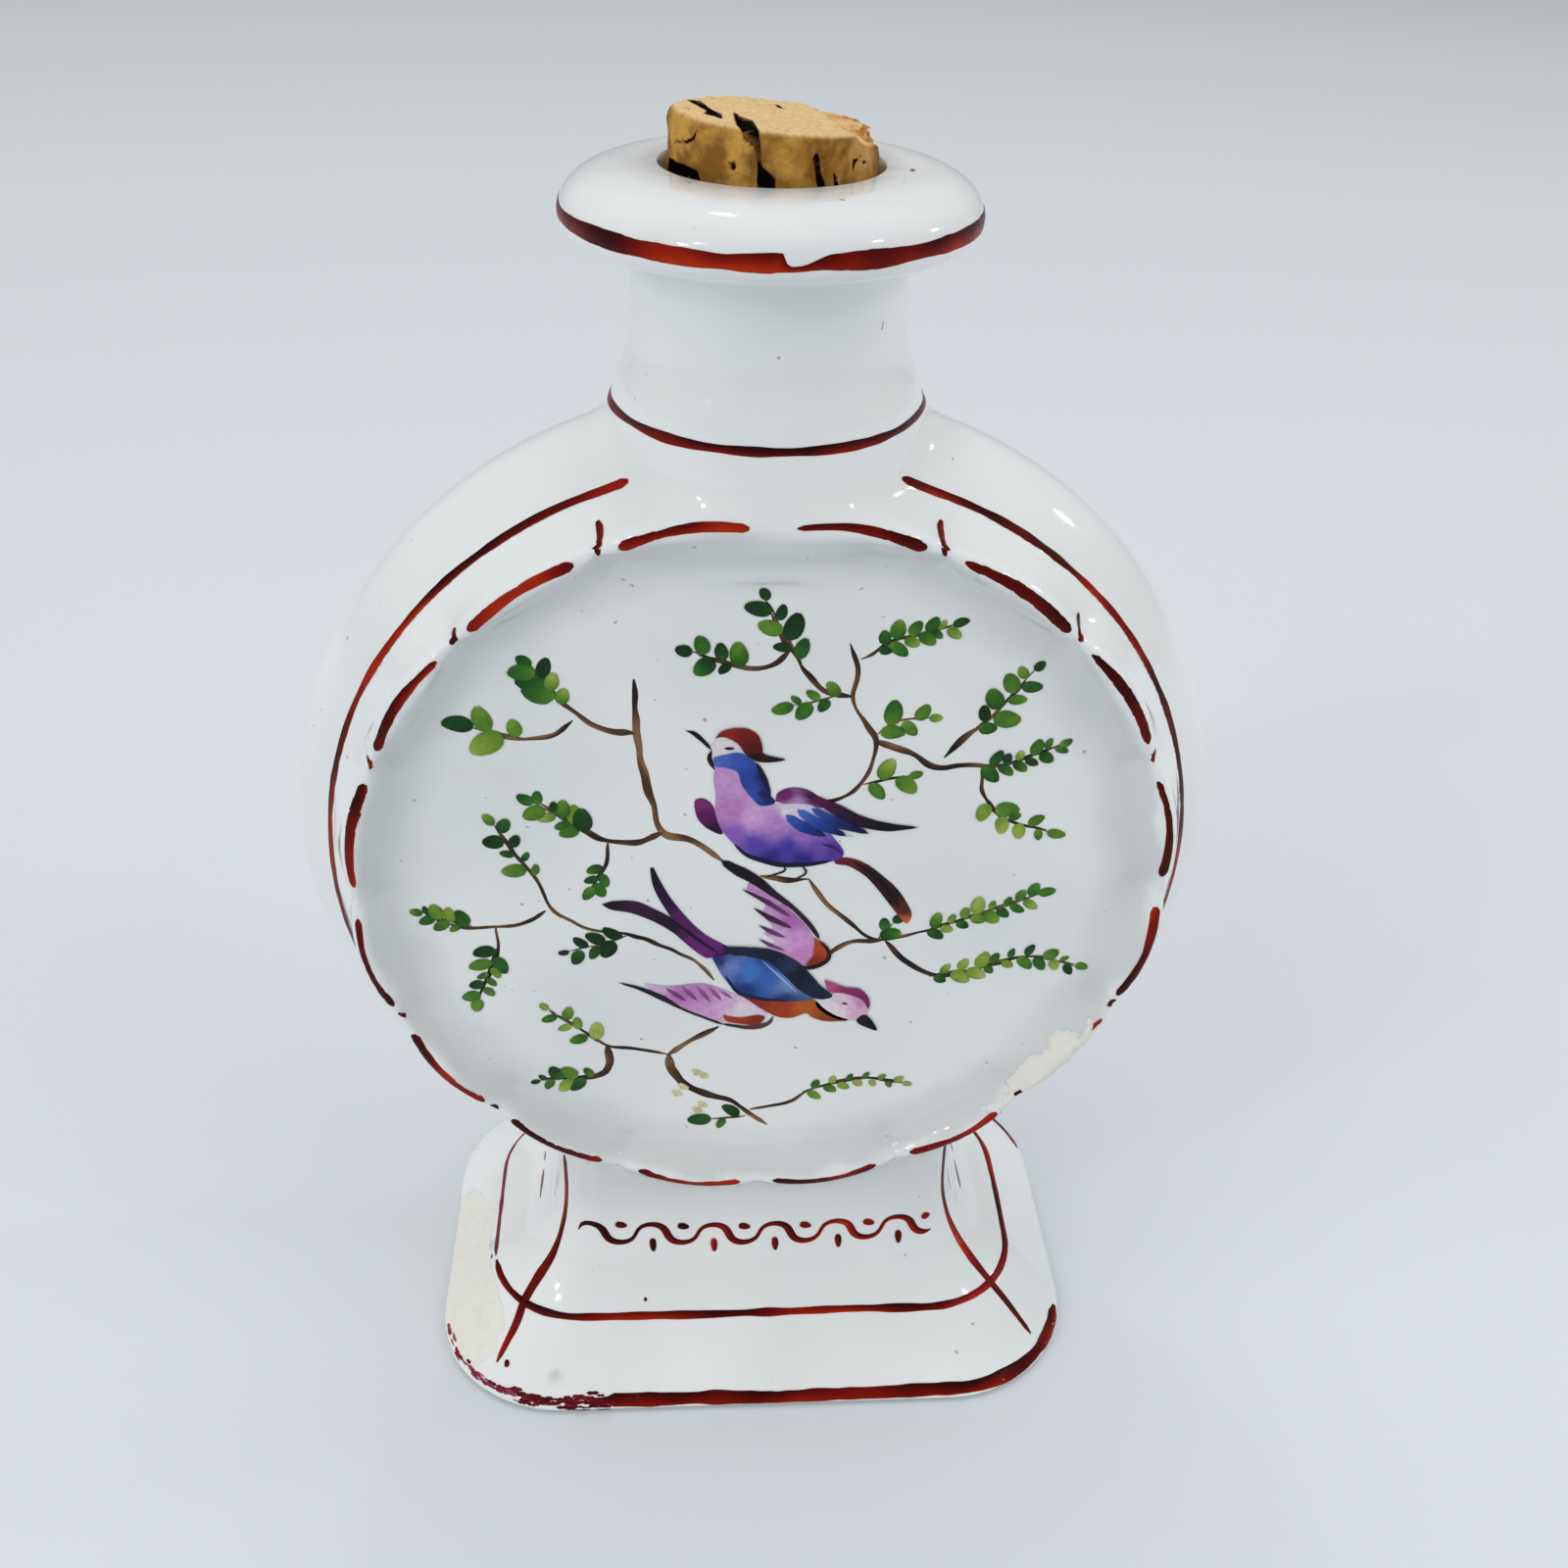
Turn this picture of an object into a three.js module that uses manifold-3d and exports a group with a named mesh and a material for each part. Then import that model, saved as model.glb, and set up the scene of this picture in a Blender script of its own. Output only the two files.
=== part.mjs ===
import * as THREE from 'three';
import { mergeVertices } from 'three/addons/utils/BufferGeometryUtils.js';
import Module from 'manifold-3d';

const wasm = await Module();
wasm.setup();

// Driving dimensions, in millimetres and degrees. The flask stands on z = 0, its painted front
// faces -Y, and the middle of its footprint is the origin.

// Foot: a flared plinth with rounded corners, a sloping border and a ridge above the border.
const BASE_WIDTH = 76;
const BASE_DEPTH = 51.6;
const BASE_CORNER = 15.5;
const BASE_EDGE_HEIGHT = 1.3;
const BASE_EDGE_ROUND = 0.9;
const RIDGE_WIDTH = 63.4;
const RIDGE_DEPTH = 35;
const RIDGE_CORNER = 11;
const RIDGE_HEIGHT = 6.7;
const WAIST_WIDTH = 46.4;
const WAIST_DEPTH = 23.8;
const WAIST_CORNER = 5.5;
const FLARE_POWER = 4.3;
const FLARE_SPACING = 1.7;
const SMALLEST_CORNER = 1;
const FOOT_RING_WIDTH = 5;
const FOOT_RECESS = 1.2;

// Drum: a flat round body whose axis runs along Y, with a lobed ring round each face.
const DRUM_LIFT = 17.4;
const BAND_RADIUS = 48.2;
const BAND_EDGE_RADIUS = 43.8;
const BAND_HALF_WIDTH = 7.8;
const RING_RADIUS = 41.1;
const RING_HALF_DEPTH = 14.3;
const RING_CREST_WIDTH = 2;
const RING_CREST_ROUND = 0.3;
const RING_OUTER_RADIUS = 42.4;
const RING_SHOULDER = 11.9;
const RING_CORE_RADIUS = 39.6;
const PLATE_RADIUS = 35.8;
const PLATE_HALF_DEPTH = 11.5;
const LOBES = 16;
const LOBE_PINCH = 1.1;
const LOBE_ROUNDNESS = 0.6;

// Neck, lip and bore.
const NECK_FOOT_RADIUS = 14.1;
const NECK_RADIUS = 12.4;
const NECK_HEIGHT = 13.4;
const NECK_FLARE_HEIGHT = 7.2;
const NECK_FLARE_ROOT = 2;
const NECK_FLARE_EASE = 3;
const LIP_RADIUS = 18.4;
const LIP_HEIGHT = 6.3;
const LIP_EDGE_HEIGHT = 2.3;
const LIP_CROWN_RADIUS = 13.2;
const LIP_CROWN_DROP = 0.8;
const LIP_CROWN_FALL = 0.1;
const LIP_UNDER_RISE = 0.3;
const LIP_FILLET = 1.9;
const BORE_RADIUS = 9.6;
const MOUTH_ROUND = 1.2;
const WALL = 3;

// Chip knocked off one lobe of the front ring, low on the right.
const CHIP_ANGLE = -35.5;
const CHIP_TILT = 38;
const CHIP_DEPTH = 0.95;
const CHIP_LENGTH = 14;

// Cork: a short tapered stopper. Its top falls to the right and a little to the back, and its
// right side is broken away.
const CORK_GAP = 0.3;
const CORK_LENGTH = 22;
const CORK_RISE = 4.5;
const CORK_TIP_RADIUS = 8.6;
const CORK_TOP_SLOPE = 4.6;
const CORK_BACK_SLOPE = 2.2;
const CORK_EDGE = 0.5;
const CORK_HEAD_INSET = 0.15;
const BREAK_START = 4.9;
const BREAK_SLOPE = 27;

// Smoothness: facets round each turned form.
const DRUM_FACETS_PER_LOBE = 6;
const CAVITY_FACETS = 40;
const NECK_FACETS = 48;
const CORK_FACETS = 32;
const FACETS_PER_CORNER = 7;
const OUTER_CURVE_STEPS = 4;
const NECK_CURVE_STEPS = 3;
const INNER_CURVE_STEPS = 2;
const FLARE_STEPS = 7;
const MERGE_DISTANCE = 1e-4;
const OVERSHOOT = 5;

// Places worked out from the sizes above.
const drumHeight = DRUM_LIFT + BAND_RADIUS;
const lipBase = drumHeight + BAND_RADIUS + NECK_HEIGHT;
const lipTop = lipBase + LIP_HEIGHT;
const waistHeight = drumHeight - (PLATE_RADIUS + RING_RADIUS) / 2;
const cavityHalfDepth = PLATE_HALF_DEPTH - WALL;
const cavityRadius = BAND_RADIUS - WALL;

/** Turns a closed geometry into a solid that can be joined and cut. */
function toSolid(geometry) {
  const bare = geometry.clone();
  bare.deleteAttribute('normal');
  bare.deleteAttribute('uv');
  const merged = mergeVertices(bare, MERGE_DISTANCE);
  const corners = merged.index.array;
  const kept = [];
  for (let i = 0; i < corners.length; i += 3) {
    const [a, b, c] = [corners[i], corners[i + 1], corners[i + 2]];
    if (a !== b && b !== c && c !== a) kept.push(a, b, c);
  }
  return new wasm.Manifold(new wasm.Mesh({
    numProp: 3,
    vertProperties: new Float32Array(merged.attributes.position.array),
    triVerts: new Uint32Array(kept),
  }));
}

/** Turns a solid back into a geometry with flat facets. */
function toGeometry(solid) {
  const mesh = solid.getMesh();
  const geometry = new THREE.BufferGeometry();
  geometry.setAttribute('position', new THREE.BufferAttribute(mesh.vertProperties, 3));
  geometry.setIndex(new THREE.BufferAttribute(mesh.triVerts, 1));
  geometry.computeVertexNormals();
  return geometry;
}

/** Turns a profile of (radius, height) points round the Z axis. */
function turnedUpright(points, facets) {
  return new THREE.LatheGeometry(points, facets).rotateX(Math.PI / 2);
}

/** Adds to a path, from the front face to the back one, the ring and the band of the drum. */
function addRingAndBand(path) {
  const coveRadius = (PLATE_RADIUS + RING_RADIUS) / 2;
  const crestRadius = RING_RADIUS - RING_CREST_WIDTH / 2;
  const crestDepth = RING_HALF_DEPTH - RING_CREST_ROUND;
  const topDepth = RING_HALF_DEPTH + RING_CREST_ROUND;
  const bandBulge = 2 * BAND_RADIUS - BAND_EDGE_RADIUS;
  path.quadraticCurveTo(coveRadius, -PLATE_HALF_DEPTH, crestRadius, -crestDepth);
  path.quadraticCurveTo(RING_OUTER_RADIUS, -topDepth, RING_OUTER_RADIUS, -RING_SHOULDER);
  path.lineTo(BAND_EDGE_RADIUS, -BAND_HALF_WIDTH);
  path.quadraticCurveTo(bandBulge, 0, BAND_EDGE_RADIUS, BAND_HALF_WIDTH);
  path.lineTo(RING_OUTER_RADIUS, RING_SHOULDER);
  path.quadraticCurveTo(RING_OUTER_RADIUS, topDepth, crestRadius, crestDepth);
  path.quadraticCurveTo(coveRadius, PLATE_HALF_DEPTH, PLATE_RADIUS, PLATE_HALF_DEPTH);
}

/** Pinches the drum's two rings inwards between their lobes. */
function pinchLobes(geometry) {
  const position = geometry.attributes.position;
  const coreDepth = (BAND_HALF_WIDTH + RING_SHOULDER) / 2;
  const point = new THREE.Vector3();
  for (let i = 0; i < position.count; i += 1) {
    point.fromBufferAttribute(position, i);
    const radius = Math.hypot(point.x, point.z);
    const side = Math.sign(point.y);
    const depth = Math.abs(point.y);
    const inRing = THREE.MathUtils.smoothstep(radius, PLATE_RADIUS, RING_CORE_RADIUS)
      * THREE.MathUtils.smoothstep(depth, BAND_HALF_WIDTH, RING_SHOULDER);
    const lobe = Math.abs(Math.sin(Math.atan2(point.x, point.z) * LOBES / 2)) ** LOBE_ROUNDNESS;
    const pinch = LOBE_PINCH * inRing * (1 - lobe);
    const outward = new THREE.Vector2(radius - RING_CORE_RADIUS, depth - coreDepth).normalize();
    const scale = radius > 0 ? (radius - pinch * outward.x) / radius : 1;
    position.setXYZ(i, point.x * scale, side * (depth - pinch * outward.y), point.z * scale);
  }
  return geometry;
}

/** The drum's outside, with its axis along Y. */
function drumOutside() {
  const path = new THREE.Path();
  path.moveTo(0, -PLATE_HALF_DEPTH);
  path.lineTo(PLATE_RADIUS, -PLATE_HALF_DEPTH);
  addRingAndBand(path);
  path.lineTo(0, PLATE_HALF_DEPTH);
  const drum = new THREE.LatheGeometry(path.getPoints(OUTER_CURVE_STEPS), LOBES * DRUM_FACETS_PER_LOBE);
  return toSolid(pinchLobes(drum).translate(0, 0, drumHeight));
}

/** The hollow inside the drum. */
function drumCavity() {
  const flatRadius = PLATE_RADIUS - WALL / 2;
  const bulge = 2 * cavityRadius - RING_RADIUS;
  const shoulder = cavityHalfDepth - WALL;
  const path = new THREE.Path();
  path.moveTo(0, -cavityHalfDepth);
  path.lineTo(flatRadius, -cavityHalfDepth);
  path.quadraticCurveTo(RING_CORE_RADIUS, -cavityHalfDepth, RING_RADIUS, -shoulder);
  path.quadraticCurveTo(bulge, 0, RING_RADIUS, shoulder);
  path.quadraticCurveTo(RING_CORE_RADIUS, cavityHalfDepth, flatRadius, cavityHalfDepth);
  path.lineTo(0, cavityHalfDepth);
  const cavity = new THREE.LatheGeometry(path.getPoints(INNER_CURVE_STEPS), CAVITY_FACETS);
  return toSolid(cavity.translate(0, 0, drumHeight));
}

/** The neck and the rounded lip, from inside the drum upwards. */
function neckAndLip() {
  const root = drumHeight + RING_RADIUS;
  const flareBase = drumHeight + BAND_RADIUS - WALL / 2;
  const flareTop = flareBase + NECK_FLARE_HEIGHT;
  const filletBase = lipBase - LIP_FILLET;
  const edge = lipBase + LIP_EDGE_HEIGHT;
  const path = new THREE.Path();
  path.moveTo(0, root);
  path.lineTo(NECK_RADIUS, root);
  path.lineTo(NECK_FOOT_RADIUS, root + WALL);
  path.lineTo(NECK_FOOT_RADIUS, flareBase);
  path.bezierCurveTo(
    NECK_FOOT_RADIUS,
    flareBase + NECK_FLARE_ROOT,
    NECK_RADIUS,
    flareTop - NECK_FLARE_EASE,
    NECK_RADIUS,
    flareTop,
  );
  path.lineTo(NECK_RADIUS, filletBase);
  path.quadraticCurveTo(NECK_RADIUS, lipBase, NECK_RADIUS + LIP_FILLET, lipBase);
  path.quadraticCurveTo(LIP_RADIUS, lipBase + LIP_UNDER_RISE, LIP_RADIUS, edge);
  path.quadraticCurveTo(LIP_RADIUS, lipTop - LIP_CROWN_DROP, LIP_CROWN_RADIUS, lipTop - LIP_CROWN_FALL);
  path.lineTo(BORE_RADIUS, lipTop);
  path.lineTo(0, lipTop);
  return toSolid(turnedUpright(path.getPoints(NECK_CURVE_STEPS), NECK_FACETS));
}

/** The bore down the neck into the drum, with a rounded mouth. */
function bore() {
  const path = new THREE.Path();
  path.moveTo(0, drumHeight);
  path.lineTo(BORE_RADIUS, drumHeight);
  path.lineTo(BORE_RADIUS, lipTop - MOUTH_ROUND);
  path.quadraticCurveTo(BORE_RADIUS, lipTop, BORE_RADIUS + MOUTH_ROUND, lipTop);
  path.lineTo(BORE_RADIUS + MOUTH_ROUND, lipTop + OVERSHOOT);
  path.lineTo(0, lipTop + OVERSHOOT);
  return toSolid(turnedUpright(path.getPoints(INNER_CURVE_STEPS), NECK_FACETS));
}

/** A level section of the foot: its height and the size of its rounded rectangle. */
function section(height, width, depth, corner) {
  return { height, halfWidth: width / 2, halfDepth: depth / 2, corner };
}

/** Share of the way up the flare at a step, with the steps closer together at the ridge. */
function flareShare(step) {
  return (step / FLARE_STEPS) ** FLARE_SPACING;
}

/** The foot's section at a share of the way up its flare, from the ridge (0) to the waist (1). */
function flareSection(share) {
  const spread = (1 - share) ** FLARE_POWER;
  return section(
    THREE.MathUtils.lerp(RIDGE_HEIGHT, waistHeight, share),
    THREE.MathUtils.lerp(WAIST_WIDTH, RIDGE_WIDTH, spread),
    THREE.MathUtils.lerp(WAIST_DEPTH, RIDGE_DEPTH, spread),
    THREE.MathUtils.lerp(WAIST_CORNER, RIDGE_CORNER, spread),
  );
}

/** The same section, smaller all round by an inset. */
function insetSection(outer, inset, height) {
  const width = 2 * (outer.halfWidth - inset);
  const depth = 2 * (outer.halfDepth - inset);
  return section(height, width, depth, Math.max(outer.corner - inset, SMALLEST_CORNER));
}

/** Point number step round a section's rounded rectangle. */
function outlinePoint(level, step) {
  const perCorner = FACETS_PER_CORNER + 1;
  const quadrant = Math.floor(step / perCorner) % 4;
  const angle = (quadrant + (step % perCorner) / FACETS_PER_CORNER) * Math.PI / 2;
  const signX = quadrant === 0 || quadrant === 3 ? 1 : -1;
  const signY = quadrant < 2 ? 1 : -1;
  const centreX = signX * (level.halfWidth - level.corner);
  const centreY = signY * (level.halfDepth - level.corner);
  return [centreX + level.corner * Math.cos(angle), centreY + level.corner * Math.sin(angle)];
}

/** Solid through level sections, from the lowest to the highest. */
function throughSections(levels) {
  const steps = 4 * (FACETS_PER_CORNER + 1);
  const rim = levels.map((level) => new THREE.Vector2(1, level.height));
  const first = new THREE.Vector2(0, levels[0].height);
  const last = new THREE.Vector2(0, levels[levels.length - 1].height);
  const drum = new THREE.LatheGeometry([first, ...rim, last], steps).rotateX(Math.PI / 2);
  const position = drum.attributes.position;
  const rows = levels.length + 2;
  for (let i = 0; i < position.count; i += 1) {
    const level = levels[(i % rows) - 1];
    const step = Math.floor(i / rows) % steps;
    if (level) position.setXY(i, ...outlinePoint(level, step));
  }
  return toSolid(drum);
}

/** The foot's outside sections, from the table up to the waist inside the drum. */
function footSections() {
  const edge = section(BASE_EDGE_HEIGHT, BASE_WIDTH, BASE_DEPTH, BASE_CORNER);
  const levels = [insetSection(edge, BASE_EDGE_ROUND, 0), edge];
  for (let i = 0; i <= FLARE_STEPS; i += 1) levels.push(flareSection(flareShare(i)));
  return levels;
}

/** The hollow inside the foot, a wall's thickness inside it and above its floor. */
function footCavity() {
  const slope = (BASE_WIDTH - RIDGE_WIDTH) / 2 / (RIDGE_HEIGHT - BASE_EDGE_HEIGHT);
  const floor = FOOT_RECESS + WALL;
  const ridge = flareSection(0);
  const levels = [insetSection(ridge, WALL - (RIDGE_HEIGHT - floor) * slope / 2, floor)];
  for (let i = 0; i <= FLARE_STEPS; i += 1) {
    const outer = flareSection(flareShare(i));
    levels.push(insetSection(outer, WALL, outer.height));
  }
  levels.push(insetSection(flareSection(1), WALL, drumHeight - PLATE_RADIUS + 2 * WALL));
  return throughSections(levels);
}

/** The shallow recess under the foot, which leaves a flat foot ring to stand on. */
function footRecess() {
  const bottom = section(0, BASE_WIDTH, BASE_DEPTH, BASE_CORNER);
  const inset = BASE_EDGE_ROUND + FOOT_RING_WIDTH;
  return throughSections([
    insetSection(bottom, inset, -OVERSHOOT),
    insetSection(bottom, inset, 0),
    insetSection(bottom, inset + FOOT_RECESS, FOOT_RECESS),
  ]);
}

/** The flat facet of the chip, as a box laid on the lobe that it takes away. */
function chipCut() {
  const turn = THREE.MathUtils.degToRad(CHIP_ANGLE);
  const tilt = THREE.MathUtils.degToRad(CHIP_TILT);
  const face = new THREE.Vector3(
    Math.cos(turn) * Math.sin(tilt),
    -Math.cos(tilt),
    Math.sin(turn) * Math.sin(tilt),
  );
  const crest = new THREE.Vector3(
    RING_RADIUS * Math.cos(turn),
    -RING_HALF_DEPTH,
    RING_RADIUS * Math.sin(turn),
  );
  const along = new THREE.Vector3(-Math.sin(turn), 0, Math.cos(turn));
  const across = new THREE.Vector3().crossVectors(along, face);
  const place = crest.addScaledVector(face, CHIP_LENGTH / 2 - CHIP_DEPTH);
  const box = new THREE.BoxGeometry(CHIP_LENGTH, CHIP_LENGTH, CHIP_LENGTH);
  box.applyMatrix4(new THREE.Matrix4().makeBasis(face, across, along));
  return toSolid(box.translate(place.x, place.y, place.z + drumHeight));
}

/** The whole hollow porcelain body as one solid. */
function buildFlask() {
  const outside = drumOutside().add(throughSections(footSections())).add(neckAndLip());
  const inside = drumCavity().add(footCavity()).add(bore());
  return toGeometry(outside.subtract(inside).subtract(footRecess()).subtract(chipCut()));
}

/** A box whose lower face is a cutting plane through a point, falling to the right and the back. */
function slopingCut(x, z, degrees) {
  const size = 4 * BORE_RADIUS;
  const box = new THREE.BoxGeometry(size, size, size).translate(0, 0, size / 2);
  box.rotateX(-THREE.MathUtils.degToRad(CORK_BACK_SLOPE));
  box.rotateY(THREE.MathUtils.degToRad(degrees));
  return toSolid(box.translate(x, 0, z));
}

/** The cork stopper, a gap inside the bore. */
function buildCork() {
  const mouthRadius = BORE_RADIUS - CORK_GAP;
  const top = lipTop + CORK_RISE;
  const tip = top - CORK_LENGTH;
  const slope = Math.tan(THREE.MathUtils.degToRad(CORK_TOP_SLOPE));
  const path = new THREE.Path();
  path.moveTo(0, tip);
  path.lineTo(CORK_TIP_RADIUS - CORK_EDGE, tip);
  path.lineTo(CORK_TIP_RADIUS, tip + CORK_EDGE);
  path.lineTo(mouthRadius, lipTop - MOUTH_ROUND);
  path.lineTo(mouthRadius - CORK_HEAD_INSET, top + CORK_EDGE);
  path.lineTo(0, top + CORK_EDGE);
  const cork = toSolid(turnedUpright(path.getPoints(), CORK_FACETS));
  const topCut = slopingCut(-mouthRadius, top, CORK_TOP_SLOPE);
  const breakHeight = top - (mouthRadius + BREAK_START) * slope;
  return toGeometry(cork.subtract(topCut).subtract(slopingCut(BREAK_START, breakHeight, BREAK_SLOPE)));
}

const PORCELAIN = new THREE.MeshStandardMaterial({ color: '#eef1f4', roughness: 0.12, metalness: 0 });
const CORK = new THREE.MeshStandardMaterial({ color: '#cfa368', roughness: 0.85, metalness: 0 });

/** A named piece of the flask. */
function piece(name, geometry, material) {
  const mesh = new THREE.Mesh(geometry, material);
  mesh.name = name;
  return mesh;
}

const moonFlask = new THREE.Group();
moonFlask.add(piece('flask', buildFlask(), PORCELAIN));
moonFlask.add(piece('cork', buildCork(), CORK));

export default moonFlask;
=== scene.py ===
"""Looks of a hollow porcelain moon flask with a cork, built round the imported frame.

Lengths inside the shape classes are in millimetres, in the frame's own axes: +X right,
-Y out of the painted face and +Z up. They turn into metres when a mesh is made.
"""

import logging
import math
from collections.abc import Callable
from dataclasses import dataclass, field
from enum import Enum

import bpy
import numpy as np
from mathutils import Matrix, Vector
from mathutils.bvhtree import BVHTree
from mathutils.geometry import delaunay_2d_cdt


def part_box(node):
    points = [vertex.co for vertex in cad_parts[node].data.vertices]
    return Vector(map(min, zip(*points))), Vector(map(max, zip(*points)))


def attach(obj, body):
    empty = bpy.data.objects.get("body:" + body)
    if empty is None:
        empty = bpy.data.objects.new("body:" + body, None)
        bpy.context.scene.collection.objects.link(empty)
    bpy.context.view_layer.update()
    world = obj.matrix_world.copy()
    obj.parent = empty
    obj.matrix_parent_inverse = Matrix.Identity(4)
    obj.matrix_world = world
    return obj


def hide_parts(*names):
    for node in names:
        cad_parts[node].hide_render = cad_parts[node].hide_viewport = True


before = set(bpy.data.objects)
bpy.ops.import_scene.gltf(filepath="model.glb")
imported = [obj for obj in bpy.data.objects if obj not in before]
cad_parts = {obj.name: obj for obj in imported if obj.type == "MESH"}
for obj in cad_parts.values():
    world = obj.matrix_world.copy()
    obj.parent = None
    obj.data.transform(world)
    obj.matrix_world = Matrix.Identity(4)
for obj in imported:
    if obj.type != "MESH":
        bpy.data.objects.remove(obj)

LOG = logging.getLogger("moon_flask")
MM = 0.001
ACROSS = np.array([-1.0, -0.6, 0.0, 0.6, 1.0])
DRUM_BELOW_LIP = 67.9
WAIST_BELOW_DRUM = 38.45
FOOT_WIDTH = 76.0
NECK_ROOT_OVER_DRUM = 35.0
FLARE_BELOW_LIP = 20.5
LIP_THICKNESS = 6.3
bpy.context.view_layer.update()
Placing = Callable[[np.ndarray], np.ndarray]


class Slot(Enum):
    """The record's material slots."""

    PORCELAIN = "porcelain"
    CORK = "cork"


# Geometry helpers


def box_mm(node: str) -> tuple[np.ndarray, np.ndarray]:
    """Gives a node's box.

    Args:
        node: Name of a node of the frame.

    Returns:
        Its lowest and highest corner, in millimetres.
    """
    low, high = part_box(node)
    return np.array(low) / MM, np.array(high) / MM


def bezier(points: list[tuple[float, float]], steps: int) -> list[tuple[float, float]]:
    """Points of a quadratic curve after its start, up to its end.

    Args:
        points: Start, control and end.
        steps: How many points to give.

    Returns:
        The points as pairs.
    """
    start, control, end = (np.array(point, float) for point in points)
    shares = np.linspace(0.0, 1.0, steps + 1)[1:, None]
    curve = (1 - shares) ** 2 * start + 2 * shares * (1 - shares) * control + shares**2 * end
    return [tuple(point) for point in curve]


def smooth_step(value: np.ndarray, low: float, high: float) -> np.ndarray:
    """Soft step from 0 at low to 1 at high.

    Args:
        value: Values to test.
        low: Where the step starts.
        high: Where it ends.

    Returns:
        Shares between 0 and 1.
    """
    share = np.clip((value - low) / (high - low), 0.0, 1.0)
    return share * share * (3.0 - 2.0 * share)


def smooth_union(first: np.ndarray, second: np.ndarray, fillet: float) -> np.ndarray:
    """Joins two distance fields with a fillet.

    Args:
        first: Distances from one form.
        second: Distances from the other.
        fillet: Width of the blend in millimetres.

    Returns:
        Distances from the joined form.
    """
    share = np.clip(0.5 + 0.5 * (second - first) / fillet, 0.0, 1.0)
    return second + (first - second) * share - fillet * share * (1.0 - share)


def ripple(points: np.ndarray, scale: float, seed: int, octaves: int = 3) -> np.ndarray:
    """Smooth seeded noise made of sine waves, about -1 to 1.

    Args:
        points: Places in millimetres, one row each.
        scale: Size of the largest waves in millimetres.
        seed: Seed of the waves' directions.
        octaves: How many times finer waves are added.

    Returns:
        One value for each place.
    """
    random = np.random.default_rng(seed)
    total = np.zeros(len(points))
    weight = 1.0
    for octave in range(octaves):
        waves = random.normal(size=(5, 3))
        waves *= 2.0 * math.pi * 2**octave / (scale * np.linalg.norm(waves, axis=1, keepdims=True))
        phases = random.uniform(0.0, 2.0 * math.pi, 5)
        total += weight * np.sin(points @ waves.T + phases).mean(axis=1) * 1.6
        weight *= 0.5
    return total


def outline_distance(radius: np.ndarray, height: np.ndarray, outline: np.ndarray) -> np.ndarray:
    """Signed distance from a closed outline in a half-plane, negative inside.

    Args:
        radius: Distances from the turning axis.
        height: Places along the axis.
        outline: The outline's points, one row each.

    Returns:
        One distance for each place.
    """
    best = np.full(len(radius), np.inf)
    inside = np.zeros(len(radius), bool)
    for start, end in zip(outline, np.roll(outline, -1, axis=0)):
        edge = end - start
        along = (radius - start[0]) * edge[0] + (height - start[1]) * edge[1]
        share = np.clip(along / max(edge @ edge, 1e-12), 0.0, 1.0)
        gap_r = radius - start[0] - share * edge[0]
        gap_h = height - start[1] - share * edge[1]
        best = np.minimum(best, gap_r * gap_r + gap_h * gap_h)
        crosses = (start[1] > height) != (end[1] > height)
        if edge[1] != 0.0:
            inside ^= crosses & (radius < start[0] + (height - start[1]) / edge[1] * edge[0])
    return np.where(inside, -1.0, 1.0) * np.sqrt(best)


def grid_faces(rows: int, columns: int) -> list[tuple[int, ...]]:
    """Faces of rings of points laid one after another, each ring closed, with both ends capped.

    Args:
        rows: Number of rings.
        columns: Points in each ring.

    Returns:
        The faces as tuples of point numbers.
    """
    faces: list[tuple[int, ...]] = []
    for row in range(rows - 1):
        for column in range(columns):
            right = (column + 1) % columns
            here, there = row * columns, (row + 1) * columns
            faces.append((here + column, here + right, there + right, there + column))
    faces.append(tuple(reversed(range(columns))))
    faces.append(tuple(range((rows - 1) * columns, rows * columns)))
    return faces


def add_mesh(name: str, points: np.ndarray, faces: list[tuple[int, ...]]) -> bpy.types.Object:
    """Adds a mesh to the scene.

    Args:
        name: Name of the object and its mesh.
        points: Places in millimetres, one row each.
        faces: Faces as tuples of point numbers.

    Returns:
        The new object, at the origin.
    """
    mesh = bpy.data.meshes.new(name)
    mesh.from_pydata((np.asarray(points) * MM).tolist(), [], faces)
    mesh.update()
    thing = bpy.data.objects.new(name, mesh)
    bpy.context.collection.objects.link(thing)
    return thing


def turned(
    name: str, profile: np.ndarray, columns: int, upright: bool, lift: float = 0.0
) -> bpy.types.Object:
    """Adds a turned form whose profile runs from one end of the axis to the other.

    Args:
        name: Name of the object.
        profile: Rows of radius and place along the axis.
        columns: Points round the form.
        upright: Whether the axis is Z, and not Y.
        lift: Height of the axis of a form that lies along Y.

    Returns:
        The new object.
    """
    turn = np.linspace(0.0, 2.0 * math.pi, columns, endpoint=False)
    radius, along = profile[:, :1], np.repeat(profile[:, 1:], columns, axis=1)
    if upright:
        rings = np.stack([radius * np.cos(turn), radius * np.sin(turn), along], axis=2)
    else:
        rings = np.stack([radius * np.sin(turn), along, radius * np.cos(turn) + lift], axis=2)
    return add_mesh(name, rings.reshape(-1, 3), grid_faces(len(profile), columns))


def pick(thing: bpy.types.Object) -> None:
    """Makes one object the only selected and active one.

    Args:
        thing: The object.
    """
    bpy.ops.object.select_all(action="DESELECT")
    thing.select_set(True)
    bpy.context.view_layer.objects.active = thing


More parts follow.
